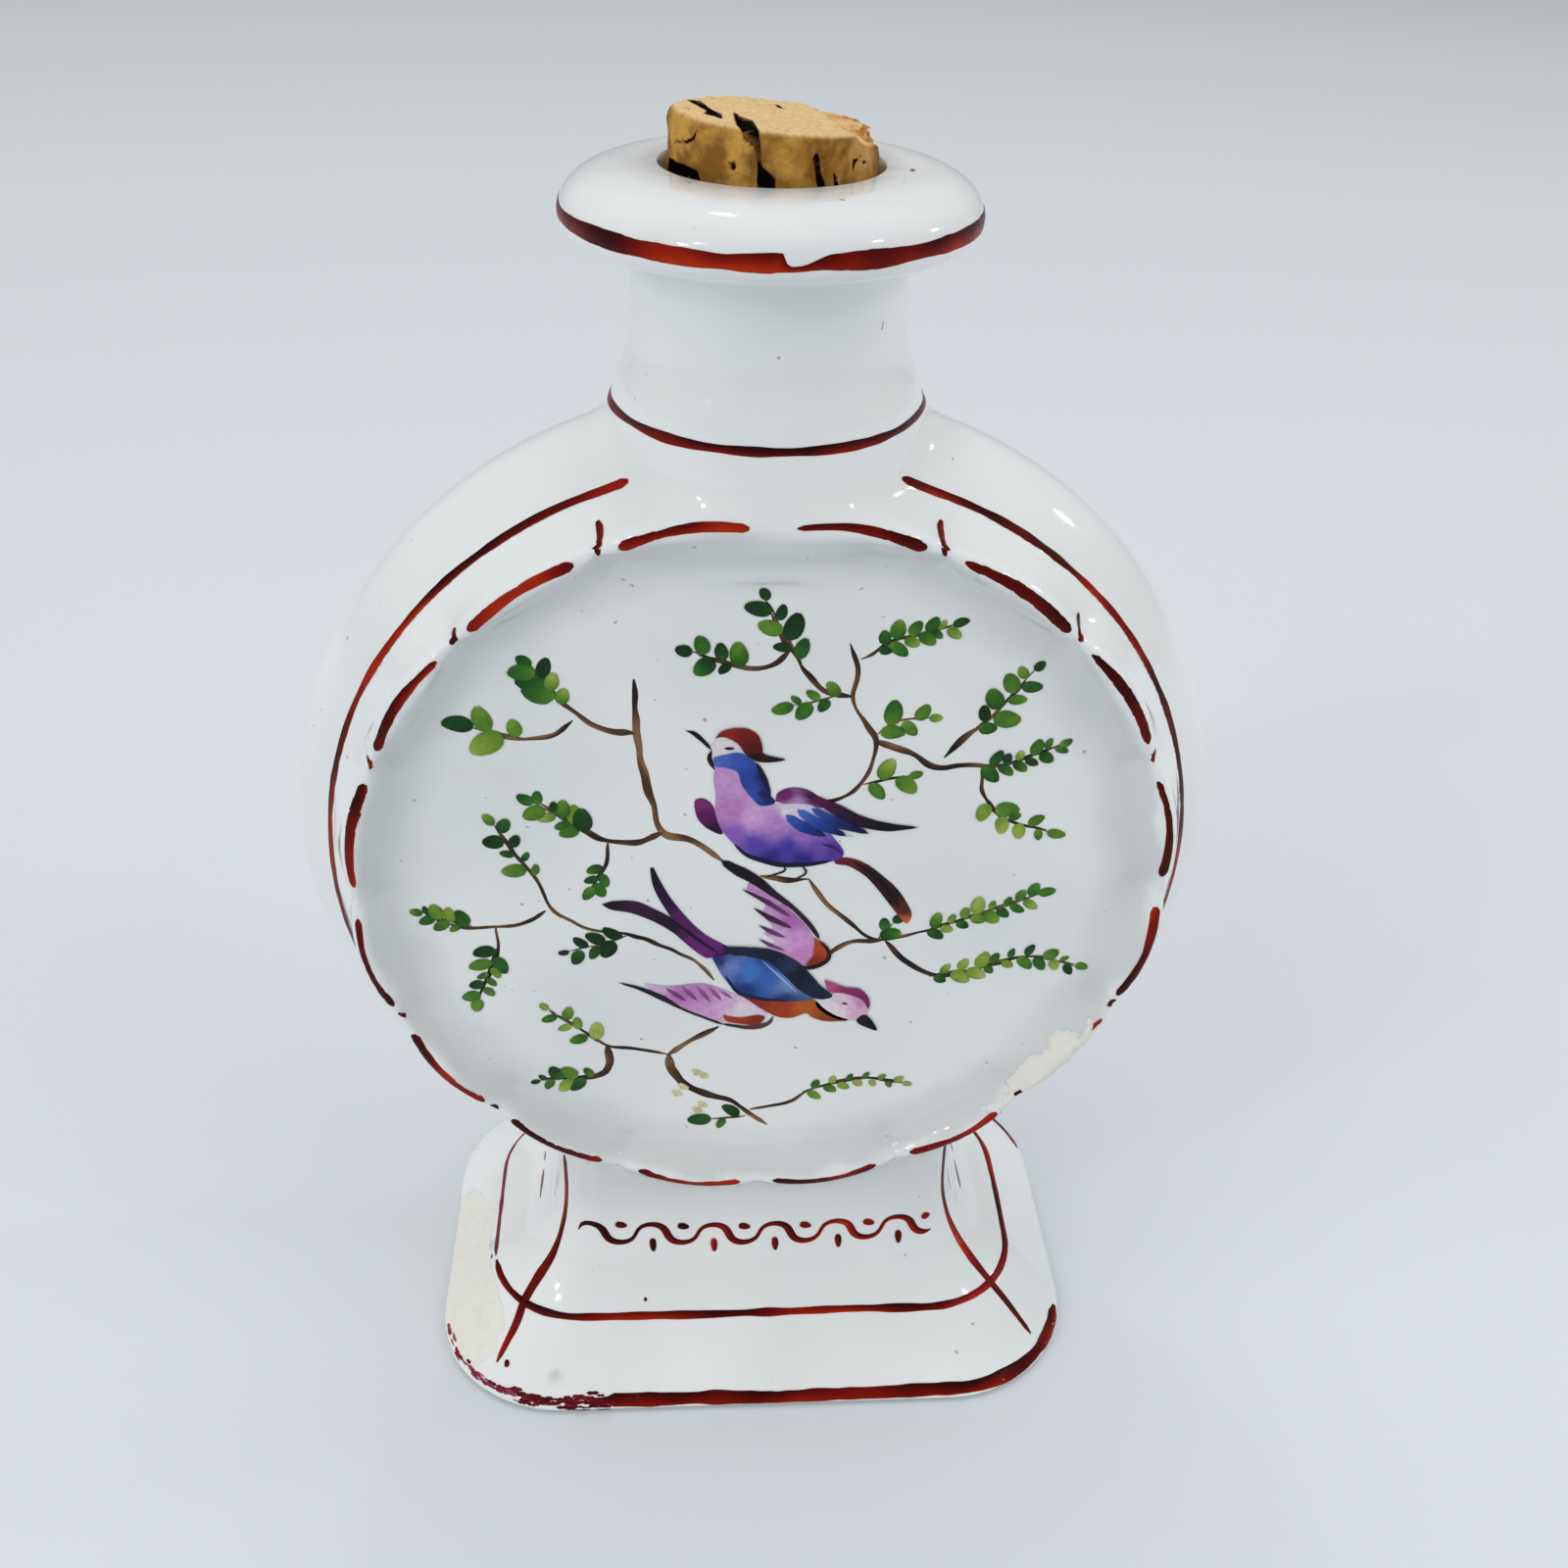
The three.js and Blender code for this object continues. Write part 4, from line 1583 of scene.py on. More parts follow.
    def build(self, surface: BVHTree) -> bpy.types.Object:
        """Paints all the lines.

        Args:
            surface: The porcelain to paint on.

        Returns:
            The paint's mesh object.
        """
        paint = Paint("red_lines", surface, film=0.065)
        neck = self.body.neck
        self.circle(paint, neck.lip_radius, neck.lip_base + neck.lip_edge + 0.4, self.lip_width, 101, notch=0.7)
        self.circle(paint, neck.foot_radius, neck.flare_base - 0.1, self.thin_width, 111)
        for side in (-1, 1):
            self.band_line(paint, side, 120 + side)
            self.ring_lines(paint, side, 200 + side)
            self.scroll(paint, side, 400 + side)
            for side_x in (-1, 1):
                self.corner_line(paint, side_x, side, 300 + 10 * side + side_x)
        ridge = self.foot_loop(6.75, 0.0)
        faded = np.flatnonzero((ridge[:, 0] < -24.0) & (ridge[:, 1] > -8.0))
        kept = np.roll(ridge, -faded[-1] - 1, axis=0)[: len(ridge) - len(faded)]
        self.line(paint, kept, self.ridge_width, 140, closed=False)
        self.faint(paint, ridge[faded], 0.5, "#7c3440")
        base = self.foot_loop(1.65, 0.0)
        for side in (-1, 1):
            near = base[side * base[:, 1] > 13.0]
            near = near[np.argsort(near[:, 0])]
            self.line(paint, near[near[:, 0] > -18.2], self.base_width, 150 + side, closed=False)
            if side < 0:
                self.worn_line(paint, near[near[:, 0] < -16.0], 160 + side)
        middle = self.body.drum.height
        flecks = ((11.5, -2.6, 133.3, 0.6), (-16.0, -11.5, middle + 39.5, 0.5), (-13.3, -16.0, 7.9, 0.5),
                  (-29.6, -20.7, 3.0, 0.9), (38.0, -13.4, middle - 16.1, 0.5), (27.1, -13.4, middle - 31.2, 0.6),
                  (-31.6, -4.0, 6.6, 0.5), (-31.8, 1.0, 6.6, 0.4), (-32.0, -7.5, 6.0, 0.6))
        for number, (x, y, z, size) in enumerate(flecks):
            self.dab(paint, (x, y, z), (0.7 * size, 0.0), size, -1, 900 + number)
        return paint.build()

    def worn_line(self, paint: Paint, path: np.ndarray, seed: int) -> None:
        """Paints the rubbed remains of a line, in broken purple-red pieces.

        Args:
            paint: The layer to paint in.
            path: The middle of the line.
            seed: Seed of the pieces.
        """
        random = np.random.default_rng(seed)
        for middle in range(1, len(path) - 3):
            dense = smooth_step(path[middle, :1], -31.0, -27.0)[0]
            for _ in range(random.poisson(1.3 + 4.2 * dense)):
                start = path[middle] + random.normal(0.0, 0.22 + 0.16 * dense, 3)
                reach = random.uniform(0.6, 1.3) * (path[middle + 2] - path[middle])
                run = start + reach * np.linspace(0.0, 1.0, 5)[:, None]
                widths = random.uniform(0.15, 0.5) * np.array([0.3, 1.0, 0.7, 1.0, 0.2])
                codes = ["#b0506c", "#7d1c34", "#5a0d16"] if dense < 0.5 else ["#8a2030", "#520a0c", "#420807"]
                tone = blend_colours(codes, random.uniform(0.0, 1.0, 1))
                paint.stroke(run, widths, np.tile(tone, (5, 1)))


# The picture


@dataclass
class Patch:
    """One filled area of a bird: its outline, its layer and a few colours at places."""

    layer: int
    outline: list[tuple[float, float]]
    spots: list[tuple[float, float, str]]

    def colours_at(self, places_mm: np.ndarray) -> np.ndarray:
        """Blends the patch's colours.

        Args:
            places_mm: Rows of X and height over the drum's middle.

        Returns:
            One linear colour for each row.
        """
        marks = np.array([(x, z) for x, z, _ in self.spots])
        tones = np.array([linear(code) for _, _, code in self.spots])
        drift = 0.22 * np.stack([ripple(np.c_[places_mm, places_mm[:, 0] * 0], 1.6, k, 2) for k in (1, 2)], axis=1)
        gaps = np.linalg.norm((places_mm + drift)[:, None, :] - marks[None], axis=2)
        shares = 1.0 / np.maximum(gaps, 0.15) ** 3.2
        return (shares @ tones) / shares.sum(axis=1, keepdims=True)


@dataclass
class Stroke:
    """One brush stroke: its path, its widths along the path and its colours."""

    path: list[tuple[float, float]]
    widths: tuple[float, ...]
    tones: tuple[str, ...]
    layer: int = 2


@dataclass
class PerchedBird:
    """A small bird that sits facing left, with a dark red cap, lilac breast and blue wing."""

    patches: list[Patch] = field(default_factory=lambda: [
        Patch(1, [(-7, 9.5), (-6.9, 10.4), (-6, 10.5), (-5.2, 9.7), (-4.8, 8.2), (-4.2, 6.2), (-5.8, 7),
                  (-6.7, 8.2)],
              [(-6.4, 10, "#7c2a70"), (-6, 8.4, "#5c1458"), (-4.8, 6.8, "#2a0a2e")]),
        Patch(1, [(-5, 17.2), (-3, 17.1), (-2.2, 16), (-3.2, 15.2), (-5, 15.1), (-5.5, 16)],
              [(-4.4, 16.4, "#ece4ea"), (-3, 15.6, "#dcd0e4")]),
        Patch(1, [(7, 3.2), (8.8, 3.1), (10.5, 2.3), (12.2, 0.8), (13.8, -0.9), (14.9, -2.7), (15.5, -4.2),
                  (15.1, -5.4), (14.4, -4.7), (13.2, -3), (11.7, -0.8), (10.3, 0.9), (8.6, 2.1), (7.3, 2.4)],
              [(8, 2.8, "#6a1f1c"), (11.3, 0.8, "#2c0b0c"), (13.4, -1.8, "#1c0808"), (14.8, -3.6, "#54200f"),
               (15.1, -5.1, "#c4602e")]),
        Patch(1, [(1, 10.1), (1.2, 11.1), (2.4, 11.7), (4, 11.5), (5.4, 10.5), (7, 9.2), (5.2, 9.3), (2.6, 9.6)],
              [(2, 10.8, "#6e1c62"), (4.6, 10.7, "#4c1148"), (3, 9.9, "#b58ac4")]),
        Patch(2, [(-4.9, 14.2), (-3, 14.2), (-1.9, 11.8), (-0.3, 9.8), (2, 9.8), (4.6, 9.6), (6, 8), (6.6, 6.2),
                  (8, 4), (7.4, 2.9), (4.8, 2.5), (1.8, 2.5), (-0.2, 3.1), (-2, 4), (-3.3, 5.3), (-4.4, 7),
                  (-4.9, 8.8),
                  (-4.9, 11), (-5.1, 12.8)],
              [(-4, 12.6, "#c99ad0"), (-3.6, 9, "#c184c6"), (-1.2, 8.2, "#d6a6dc"), (1.2, 7.4, "#b985cc"),
               (-3.2, 6.2, "#8e5fc0"), (2.6, 9.2, "#e6dcef"), (4.4, 9.3, "#d4c9ea"), (-1, 4.8, "#5a45b0"),
               (2.4, 4.6, "#4636a8"), (5.6, 4.4, "#6c4db4"), (7, 3.8, "#5238a0"), (0.6, 3.2, "#2c2684"),
               (4, 3, "#2a2688"), (3.8, 6, "#9a6cc4")]),
        Patch(3, [(-5.1, 15.3), (-4, 15.6), (-2.6, 15.8), (-1.3, 14.9), (-0.4, 13.8), (0, 12.2), (0.4, 10.9),
                  (1, 10),
                  (-0.4, 9.6), (-1.4, 10.6), (-2.4, 12.2), (-2.8, 13.6), (-4, 14.1), (-5, 14.3)],
              [(-4.2, 14.9, "#4a6cc0"), (-2.6, 14.8, "#3556b4"), (-1.2, 13, "#2744a4"), (-1, 11, "#3450b0"),
               (0.2, 11, "#141c58"), (-0.3, 13, "#18246c")]),
        Patch(4, [(-5, 17.4), (-4.4, 18.2), (-3.2, 18.6), (-1.8, 18.5), (-0.8, 17.7), (-0.4, 16.4), (-0.3, 15.7),
                  (0.8, 15.3), (1.9, 15), (0.6, 14.7), (-0.9, 14.8), (-2, 15.6), (-2.6, 16.6), (-3.4, 17.3),
                  (-4.3, 17.6)],
              [(-3.6, 18, "#8c2014"), (-1.8, 17.8, "#741410"), (-1, 16.4, "#5a0e0e"), (-0.8, 15.3, "#260608"),
               (1.2, 15, "#120406")]),
    ])
    strokes: list[Stroke] = field(default_factory=lambda: [
        Stroke([(-7.8, 18.3), (-7, 18), (-6, 17), (-5.3, 16.1)], (0.25, 0.5, 0.4, 0.35), ("#0e0a0c", "#1a1216")),
        Stroke([(-5.3, 16.1), (-5.5, 15.1), (-5, 13.8)], (0.4, 0.5, 0.25), ("#15101a", "#15101a")),
        Stroke([(-4.1, 16.3), (-3.1, 16.3)], (0.45, 0.55, 0.35), ("#0c0a10", "#0c0a10"), 5),
        Stroke([(-0.9, 14.6), (-0.2, 12.8), (0.5, 10.8)], (0.3, 0.65, 0.3), ("#0d1030", "#10143c"), 4),
        Stroke([(-3.1, 5.1), (-1.8, 3.7), (0, 2.9), (1.8, 2.4), (4.4, 2.4), (6.8, 2.8)],
               (0.2, 0.5, 0.6, 0.5, 0.3), ("#17103c", "#0f0c30", "#141038"), 4),
        Stroke([(4.6, 10.6), (7.2, 9), (9.4, 7.7), (12.2, 6.9), (15.4, 6.8)], (0.7, 1.3, 1.3, 1.0, 0.15),
               ("#5a164e", "#2b0c30", "#0c0812", "#0a0810"), 4),
        Stroke([(2.1, 8.5), (3.6, 7.2), (6.1, 5.9)], (0.8, 1.3, 0.5), ("#3c62bc", "#1c3a98", "#0a0f38"), 5),
        Stroke([(3.2, 9.1), (5.4, 7.4), (8.2, 5.9)], (0.7, 1.3, 0.4), ("#4a70c4", "#1e3c9c", "#080a26"), 6),
        Stroke([(4.6, 9.3), (7, 7.7), (10.4, 6.2)], (0.6, 1.3, 0.4), ("#3c58b4", "#132468", "#06060f"), 7),
        Stroke([(5.8, 4.9), (7.2, 4.4), (7.9, 3.6)], (0.2, 0.35, 0.2), ("#3a1466", "#4a1470"), 4),
        Stroke([(8, 6.1), (9, 5.8)], (0.15, 0.3, 0.15), ("#8fb0e4", "#c8d4ee"), 8),
        Stroke([(1.9, 2.3), (2.1, 1.6), (0.1, 0.8)], (0.22, 0.25, 0.2), ("#15101a", "#241a1c"), 2),
        Stroke([(3.8, 2.3), (4.3, 1.3), (3, 0.4)], (0.22, 0.25, 0.2), ("#15101a", "#3a2c28"), 2),
        Stroke([(9, 2.7), (11.8, 0.4), (14.2, -3.4)], (0.2, 0.4, 0.2), ("#120606", "#0c0505"), 3),
    ])


@dataclass
class DivingBird:
    """A small bird that flies down to the right, with a forked purple tail and pink wings."""

    patches: list[Patch] = field(default_factory=lambda: [
        Patch(1, [(-11.5, 2), (-11.2, 2.3), (-10.6, 0.8), (-9.6, -1.4), (-8.3, -3.5), (-6.9, -5.4), (-5.6, -6.7),
                  (-4, -7.8), (-2.4, -9), (-3.6, -9.9), (-5.4, -9.2), (-7, -7.8), (-8.5, -5.8), (-10.2, -2.7),
                  (-11.2, -0.2)],
              [(-11.1, 1.4, "#140714"), (-9.9, -1.6, "#2a0b30"), (-8, -4.8, "#56185c"), (-5.4, -7.8, "#6e2278"),
               (-3.4, -9.2, "#3c1048")]),
        Patch(2, [(-16.5, -2.3), (-15.2, -1.9), (-13, -2), (-11, -3.1), (-9.4, -4.2), (-8.1, -5.6), (-6.6, -7),
                  (-4.8, -8.6), (-5.6, -9.6), (-6.8, -8.8), (-8.2, -7.3), (-9.4, -6), (-11.3, -4.6), (-13.5, -3.5),
                  (-15.6, -3)],
              [(-15.8, -2.4, "#1a0a1c"), (-12.8, -2.8, "#34113c"), (-9.8, -4.9, "#220a2a"), (-6.4, -8, "#6a2074")]),
        Patch(1, [(-1.5, 0.2), (0.6, -1.2), (2.8, -3.4), (4.6, -5.6), (5.6, -7.6), (5.8, -9.4), (4.8, -10.6),
                  (3.2, -10.2), (1.6, -9), (0.4, -8.2), (1.4, -7.6), (0.2, -6.4), (1.2, -5.8), (0, -4), (0.2, -2.6),
                  (-1.6, -1)],
              [(0, -1.2, "#c490c8"), (2.8, -4.6, "#b06cb4"), (3.6, -7.6, "#d79ad6"), (1.6, -7.4, "#dcb4e0"),
               (4.4, -9.6, "#d08cc8"), (0.6, -4.6, "#cda4d2")]),
        Patch(1, [(-12.4, -12.9), (-9.6, -13.3), (-6.5, -13), (-4.6, -13.6), (-2.8, -14.6), (-1, -15.6),
                  (0.4, -16.6),
                  (0.6, -17.8), (-1.2, -18.6), (-3.9, -18.7), (-6.4, -17.6), (-8.3, -16.4), (-10, -15.2),
                  (-11.4, -14)],
              [(-11, -13.4, "#d9b8d8"), (-8.6, -14.4, "#b978b8"), (-6, -14.6, "#c88ac6"), (-3.4, -15.6, "#ddb2dc"),
               (-5.6, -16.6, "#d8a4d4"), (-2, -16.8, "#ece0ea"), (-0.6, -16.6, "#e4d4e4")]),
        Patch(3, [(-1.9, -14.9), (1.2, -15.3), (4, -15.3), (5.8, -15.6), (6.9, -16.8), (8.2, -17.8), (9.6, -18.5),
                  (7.2, -18.6), (5.6, -18), (4.9, -17.4), (3.4, -18), (1.8, -17.8), (0, -16.6)],
              [(-0.6, -15.6, "#8c2c14"), (2.2, -16.6, "#a83c16"), (4.8, -16.4, "#c05a1e"),
               (7.6, -18.1, "#8a4414")]),
        Patch(3, [(5.9, -15.4), (7.4, -14.9), (9, -14.2), (10.8, -14.7), (11.8, -16.2), (11.5, -17.6),
                  (10.4, -18.4),
                  (8.6, -18.4), (7, -17.5), (6, -16.4)],
              [(6.8, -15.9, "#ece2ea"), (8.8, -15.4, "#e8cde0"), (10.8, -15.6, "#d493bc"), (10.4, -17.4, "#e6b8d2"),
               (8, -17.6, "#efe4e8")]),
        Patch(4, [(-5.3, -9.4), (-3, -9), (-0.6, -9.1), (1.4, -10), (3.4, -12.4), (6.2, -14.6), (5.2, -15.5),
                  (2.6, -15.7), (0, -15.2), (-2.2, -14.6), (-3.9, -12.4)],
              [(-3.6, -10.6, "#6f86c8"), (-1.2, -11.6, "#3f78c8"), (0.8, -12.6, "#3566bc"), (2.8, -13.6, "#6f8cc8"),
               (-1.8, -14, "#1c3480"), (2.6, -15.2, "#22356c"), (-4.4, -10, "#2a2c74"), (0.6, -10, "#2a4c9c")]),
        Patch(5, [(-4, -8), (-1.8, -8.1), (0.6, -8.4), (2.4, -9.2), (4.2, -10.6), (5.4, -12.2), (6.4, -13.6),
                  (7.7, -15), (6.2, -15.4), (4.2, -14.2), (2.4, -12), (0.6, -10.1), (-1.8, -9.3), (-3.2, -9.1)],
              [(-2.6, -8.5, "#14203c"), (1.6, -9.3, "#10182e"), (3.8, -11.8, "#0c1224"), (6.2, -14.4, "#182238"),
               (3, -10.9, "#1e3056")]),
        Patch(5, [(6.7, -12.7), (7.8, -13.2), (9, -13.8), (10.6, -14.1), (11.7, -15.6), (11.6, -16.9),
                  (10.9, -15.6),
                  (9, -14.7), (7.3, -14.3)],
              [(7.2, -13.4, "#b8508c"), (9.4, -14.2, "#8e2c66"), (11.3, -15.6, "#7c2458")]),
        Patch(5, [(10.4, -18.4), (11.2, -17.7), (12, -18.4), (12.8, -20), (11.7, -19.6), (10.7, -19)],
              [(11.4, -18.6, "#141016"), (12.4, -19.6, "#0a080a")]),
        Patch(4, [(5.5, -7), (6.7, -8.1), (6.9, -9.7), (5.9, -10.7), (4.7, -10.7), (5.4, -9.3)],
              [(6.1, -8.6, "#b8481c"), (5.6, -10.2, "#8c2c12")]),
        Patch(4, [(-4.1, -17.4), (-2.2, -17.8), (-0.3, -17.5), (0.5, -17.9), (-0.4, -18.9), (-2.2, -18.7),
                  (-3.6, -18.3)],
              [(-2.4, -18.1, "#a83c1a"), (-0.2, -18.2, "#8c2a12")]),
    ])
    strokes: list[Stroke] = field(default_factory=lambda: [
        Stroke([(-4.3, 3), (-3, 2), (-0.8, 0.5), (1, -1.2), (3, -3), (4.8, -5.2), (6, -7.2)],
               (0.7, 1.3, 1.1, 0.7, 0.5, 0.55, 0.4), ("#0c070c", "#140a14", "#3a1438", "#2a1020"), 3),
        Stroke([(6, -7.4), (7, -8.8), (6.9, -10.1), (5.4, -11), (4, -10.9)], (0.3, 0.4, 0.5, 0.6, 0.3),
               ("#3a120c", "#1a0808"), 6),
        Stroke([(-2.2, -0.6), (0.4, -2.3), (2.8, -4.2)], (0.15, 0.6, 0.4), ("#240c24", "#7a3a78"), 4),
        Stroke([(-1, -3), (0.8, -4.4), (3, -5.7)], (0.15, 0.7, 0.4), ("#170a18", "#5c2a5c"), 4),
        Stroke([(-0.4, -5.3), (0.8, -6.1), (2.4, -7)], (0.15, 0.6, 0.3), ("#2c1230", "#8a4a88"), 4),
        Stroke([(-0.4, -7.1), (0.8, -7.9), (2.4, -8.7)], (0.15, 0.45, 0.25), ("#3a1a3c", "#94508e"), 4),
        Stroke([(-15.1, -12.7), (-12.8, -13.6), (-10.4, -15), (-8.4, -16.5), (-5.8, -17.9), (-4, -18.8)],
               (0.15, 0.5, 0.75, 0.3, 0.3, 0.35), ("#1c0c1c", "#2c1228", "#20101c"), 3),
        Stroke([(-4.2, -18.7), (-1.2, -19.3), (0.8, -18.8), (1.4, -17.7)], (0.3, 0.45, 0.7, 0.2),
               ("#2c1820", "#5c4a48"), 3),
        Stroke([(-10.2, -13.5), (-8, -15.4)], (0.2, 0.55, 0.25), ("#8c4a88", "#6e2c6a"), 3),
        Stroke([(-8.4, -13.4), (-6.8, -15.4)], (0.2, 0.55, 0.25), ("#a05c9c", "#7c3678"), 3),
        Stroke([(-6.9, -13.3), (-5.4, -15.6)], (0.2, 0.55, 0.2), ("#a05c9c", "#8c4688"), 3),
        Stroke([(-5.6, -13.5), (-4.2, -15.4)], (0.2, 0.5, 0.2), ("#a868a4", "#8c4688"), 3),
        Stroke([(-4.5, -13.9), (-3, -15.2)], (0.2, 0.4, 0.2), ("#b078ac", "#7c4078"), 3),
        Stroke([(-3.8, -12), (-2.4, -14.3), (0, -15.2), (2.8, -15.6)], (0.2, 0.45, 0.4, 0.2),
               ("#141c48", "#0e1434"), 6),
        Stroke([(0, -9.9), (1.8, -12), (4, -14.6)], (0.1, 0.3, 0.1), ("#8ca8dc", "#a8b8e0"), 6),
        Stroke([(8.7, -16), (9.4, -16.2)], (0.4, 0.5, 0.25), ("#20141e", "#20141e"), 6),
        Stroke([(-9.4, -4.4), (-7, -6.8), (-4.6, -8.9)], (0.15, 0.35, 0.2), ("#120612", "#1c081e"), 4),
    ])


@dataclass
class Bough:
    """A branch of the picture: its path and its widths at both ends."""

    path: list[tuple[float, float]]
    start: float
    end: float


@dataclass
class Sprig:
    """Leaves along the end of a branch: where they grow, how many and how long."""

    path: list[tuple[float, float]]
    leaves: int
    length: float
    tone: float = 0.5


@dataclass
class Picture:
    """The painting on the front: two small birds among thin leafy boughs, and a plain sprig behind."""

    drum: Drum
    boughs: list[Bough] = field(default_factory=lambda: [
        Bough([(-12.5, 24), (-12.5, 18), (-12, 13.5), (-11, 9.5), (-10, 6.5), (-7.5, 5.5), (-4, 3)], 0.5, 0.6),
        Bough([(-12.5, 18), (-15.5, 18.5), (-18, 20), (-19.5, 21.5), (-21.5, 24.5)], 0.5, 0.3),
        Bough([(-18.5, 19.5), (-20.5, 18), (-23, 17.5), (-26, 18)], 0.4, 0.25),
        Bough([(-10, 6.5), (-12, 5.5), (-15.5, 5.5), (-17.5, 6.5), (-22, 10)], 0.6, 0.3),
        Bough([(-15.5, 5.5), (-16, 2.5), (-17.5, -0.5)], 0.35, 0.2),
        Bough([(-5, -12.5), (-7, -10), (-10, -8), (-13.5, -6.5), (-18, -5.5), (-21.5, -3), (-22.5, 0),
               (-24.5, 3.5), (-26.5, 7)], 0.35, 0.3),
        Bough([(-22, -3), (-24, -4.5), (-27.5, -5), (-31, -5), (-34.5, -3.2)], 0.4, 0.25),
        Bough([(-27.5, -5), (-27.5, -9), (-29.6, -14)], 0.35, 0.25),
        Bough([(-4.5, -19), (-10, -23)], 0.5, 0.6),
        Bough([(-10, -23), (-13.5, -22), (-16.5, -21.5), (-19, -19.5), (-22.5, -16.5)], 0.35, 0.25),
        Bough([(-16.5, -21.5), (-16.5, -24.5), (-18, -26), (-24, -26.5)], 0.6, 0.25),
        Bough([(-10, -23), (-9.5, -25.5), (-7.5, -28), (-3, -30.5), (1, -34)], 0.7, 0.35),
        Bough([(-1, -31.6), (3.5, -30.5), (5.5, -29), (11, -27), (16, -27.8)], 0.35, 0.2),
        Bough([(7.5, 27.5), (8.5, 25), (8, 22), (9.5, 19), (10.5, 17), (10.5, 15), (9.5, 12), (7.5, 10.5),
               (5, 9.8)],
              0.35, 0.35),
        Bough([(8, 22), (5.5, 22.5), (3.5, 24.5), (2, 27), (0, 31)], 0.45, 0.3),
        Bough([(2, 27), (0.5, 25.5), (-2, 25), (-6.5, 26.5)], 0.5, 0.25),
        Bough([(8.5, 26), (9.5, 26.5), (12, 28), (16.5, 29.3)], 0.3, 0.2),
        Bough([(10.5, 17), (14, 15.5), (16.5, 14), (20, 14), (23, 14), (28, 16)], 0.6, 0.25),
        Bough([(17.5, 15), (19, 17), (21.5, 19.5), (24.5, 23.5)], 0.45, 0.25),
        Bough([(21, 13.5), (21.5, 11), (23.5, 8), (28.5, 6.3)], 0.35, 0.2),
        Bough([(4.5, 0.5), (6.5, -2.5), (8.5, -4.5), (11, -7), (13, -7.5), (17, -6.5), (28, -2)], 0.4, 0.2),
        Bough([(13, -7.8), (15.5, -10.5), (19, -12.5), (25, -11), (28.5, -10), (33.5, -11.2)], 0.5, 0.2),
        Bough([(12.5, -7.6), (9, -8), (6.5, -10)], 0.6, 0.35),
        Bough([(-0.5, 1), (2, 0.5), (4.5, 0.5)], 0.5, 0.5),
    ])
    sprigs: list[Sprig] = field(default_factory=lambda: [
        Sprig([(-19.3, 21), (-21.5, 24.5), (-22.5, 25.5)], 7, 2.6, 0.3),
        Sprig([(-23, 17.5), (-28.5, 19)], 4, 3.0, 0.35),
        Sprig([(-17.5, 6.5), (-23, 10.5)], 10, 2.2, 0.35),
        Sprig([(-16, 2.5), (-17.5, -0.5)], 5, 1.9, 0.4),
        Sprig([(-23, 1), (-24.5, 3.5), (-27, 8)], 8, 2.0, 0.3),
        Sprig([(-30, -5), (-35, -3)], 8, 1.8, 0.45),
        Sprig([(-27.5, -8), (-30, -15)], 10, 2.0, 0.4),
        Sprig([(-14, -6.5), (-16.5, -7.5), (-20.5, -8.5)], 7, 2.1, 0.15),
        Sprig([(-17.5, -21), (-23, -16)], 7, 2.0, 0.55),
        Sprig([(-18, -26), (-24.5, -26.5)], 8, 1.9, 0.4),
        Sprig([(-1.5, -32.5), (-6, -33)], 3, 2.6, 0.2),
        Sprig([(5, -29), (11, -27.2), (16.5, -28)], 13, 1.5, 0.6),
        Sprig([(3, 25.5), (0.5, 30.5), (-0.5, 32.5)], 7, 2.6, 0.35),
        Sprig([(-2, 25), (-7.5, 27)], 6, 2.2, 0.15),
        Sprig([(10, 26.8), (12, 28), (17.5, 29.5)], 12, 1.7, 0.4),
        Sprig([(7, 22), (2, 21)], 6, 2.1, 0.45),
        Sprig([(21, 14), (24, 14.3), (29, 16.5)], 12, 1.9, 0.4),
        Sprig([(20, 18), (22, 20), (25.5, 25)], 9, 2.2, 0.25),
        Sprig([(22, 10), (24, 7.8), (29, 6)], 8, 2.0, 0.5),
        Sprig([(10.5, 17.5), (12.5, 19), (16, 19.5)], 5, 2.4, 0.55),
        Sprig([(9.5, 12), (14.5, 13)], 4, 2.4, 0.45),
        Sprig([(17, -6.5), (22, -4.5), (29, -1.7)], 17, 1.9, 0.5),
        Sprig([(18, -12.6), (24, -11.2), (28.5, -10), (34, -11.5)], 18, 2.0, 0.5),
        Sprig([(12, -7.5), (14, -5)], 3, 1.8, 0.3),
    ])

    def on_front(self, rows: np.ndarray) -> np.ndarray:
        """Places on the front plate.

        Args:
            rows: Rows of X and height over the drum's middle.

        Returns:
            The places in millimetres.
        """
        depth = np.full(len(rows), -self.drum.plate_depth)
        return np.stack([rows[:, 0], depth, rows[:, 1] + self.drum.height], axis=1)

    def on_back(self, rows: np.ndarray) -> np.ndarray:
        """Places on the back plate, seen from behind.

        Args:
            rows: Rows of X and height over the drum's middle.

        Returns:
            The places in millimetres.
        """
        return self.on_front(rows) * np.array([-1.0, -1.0, 1.0])

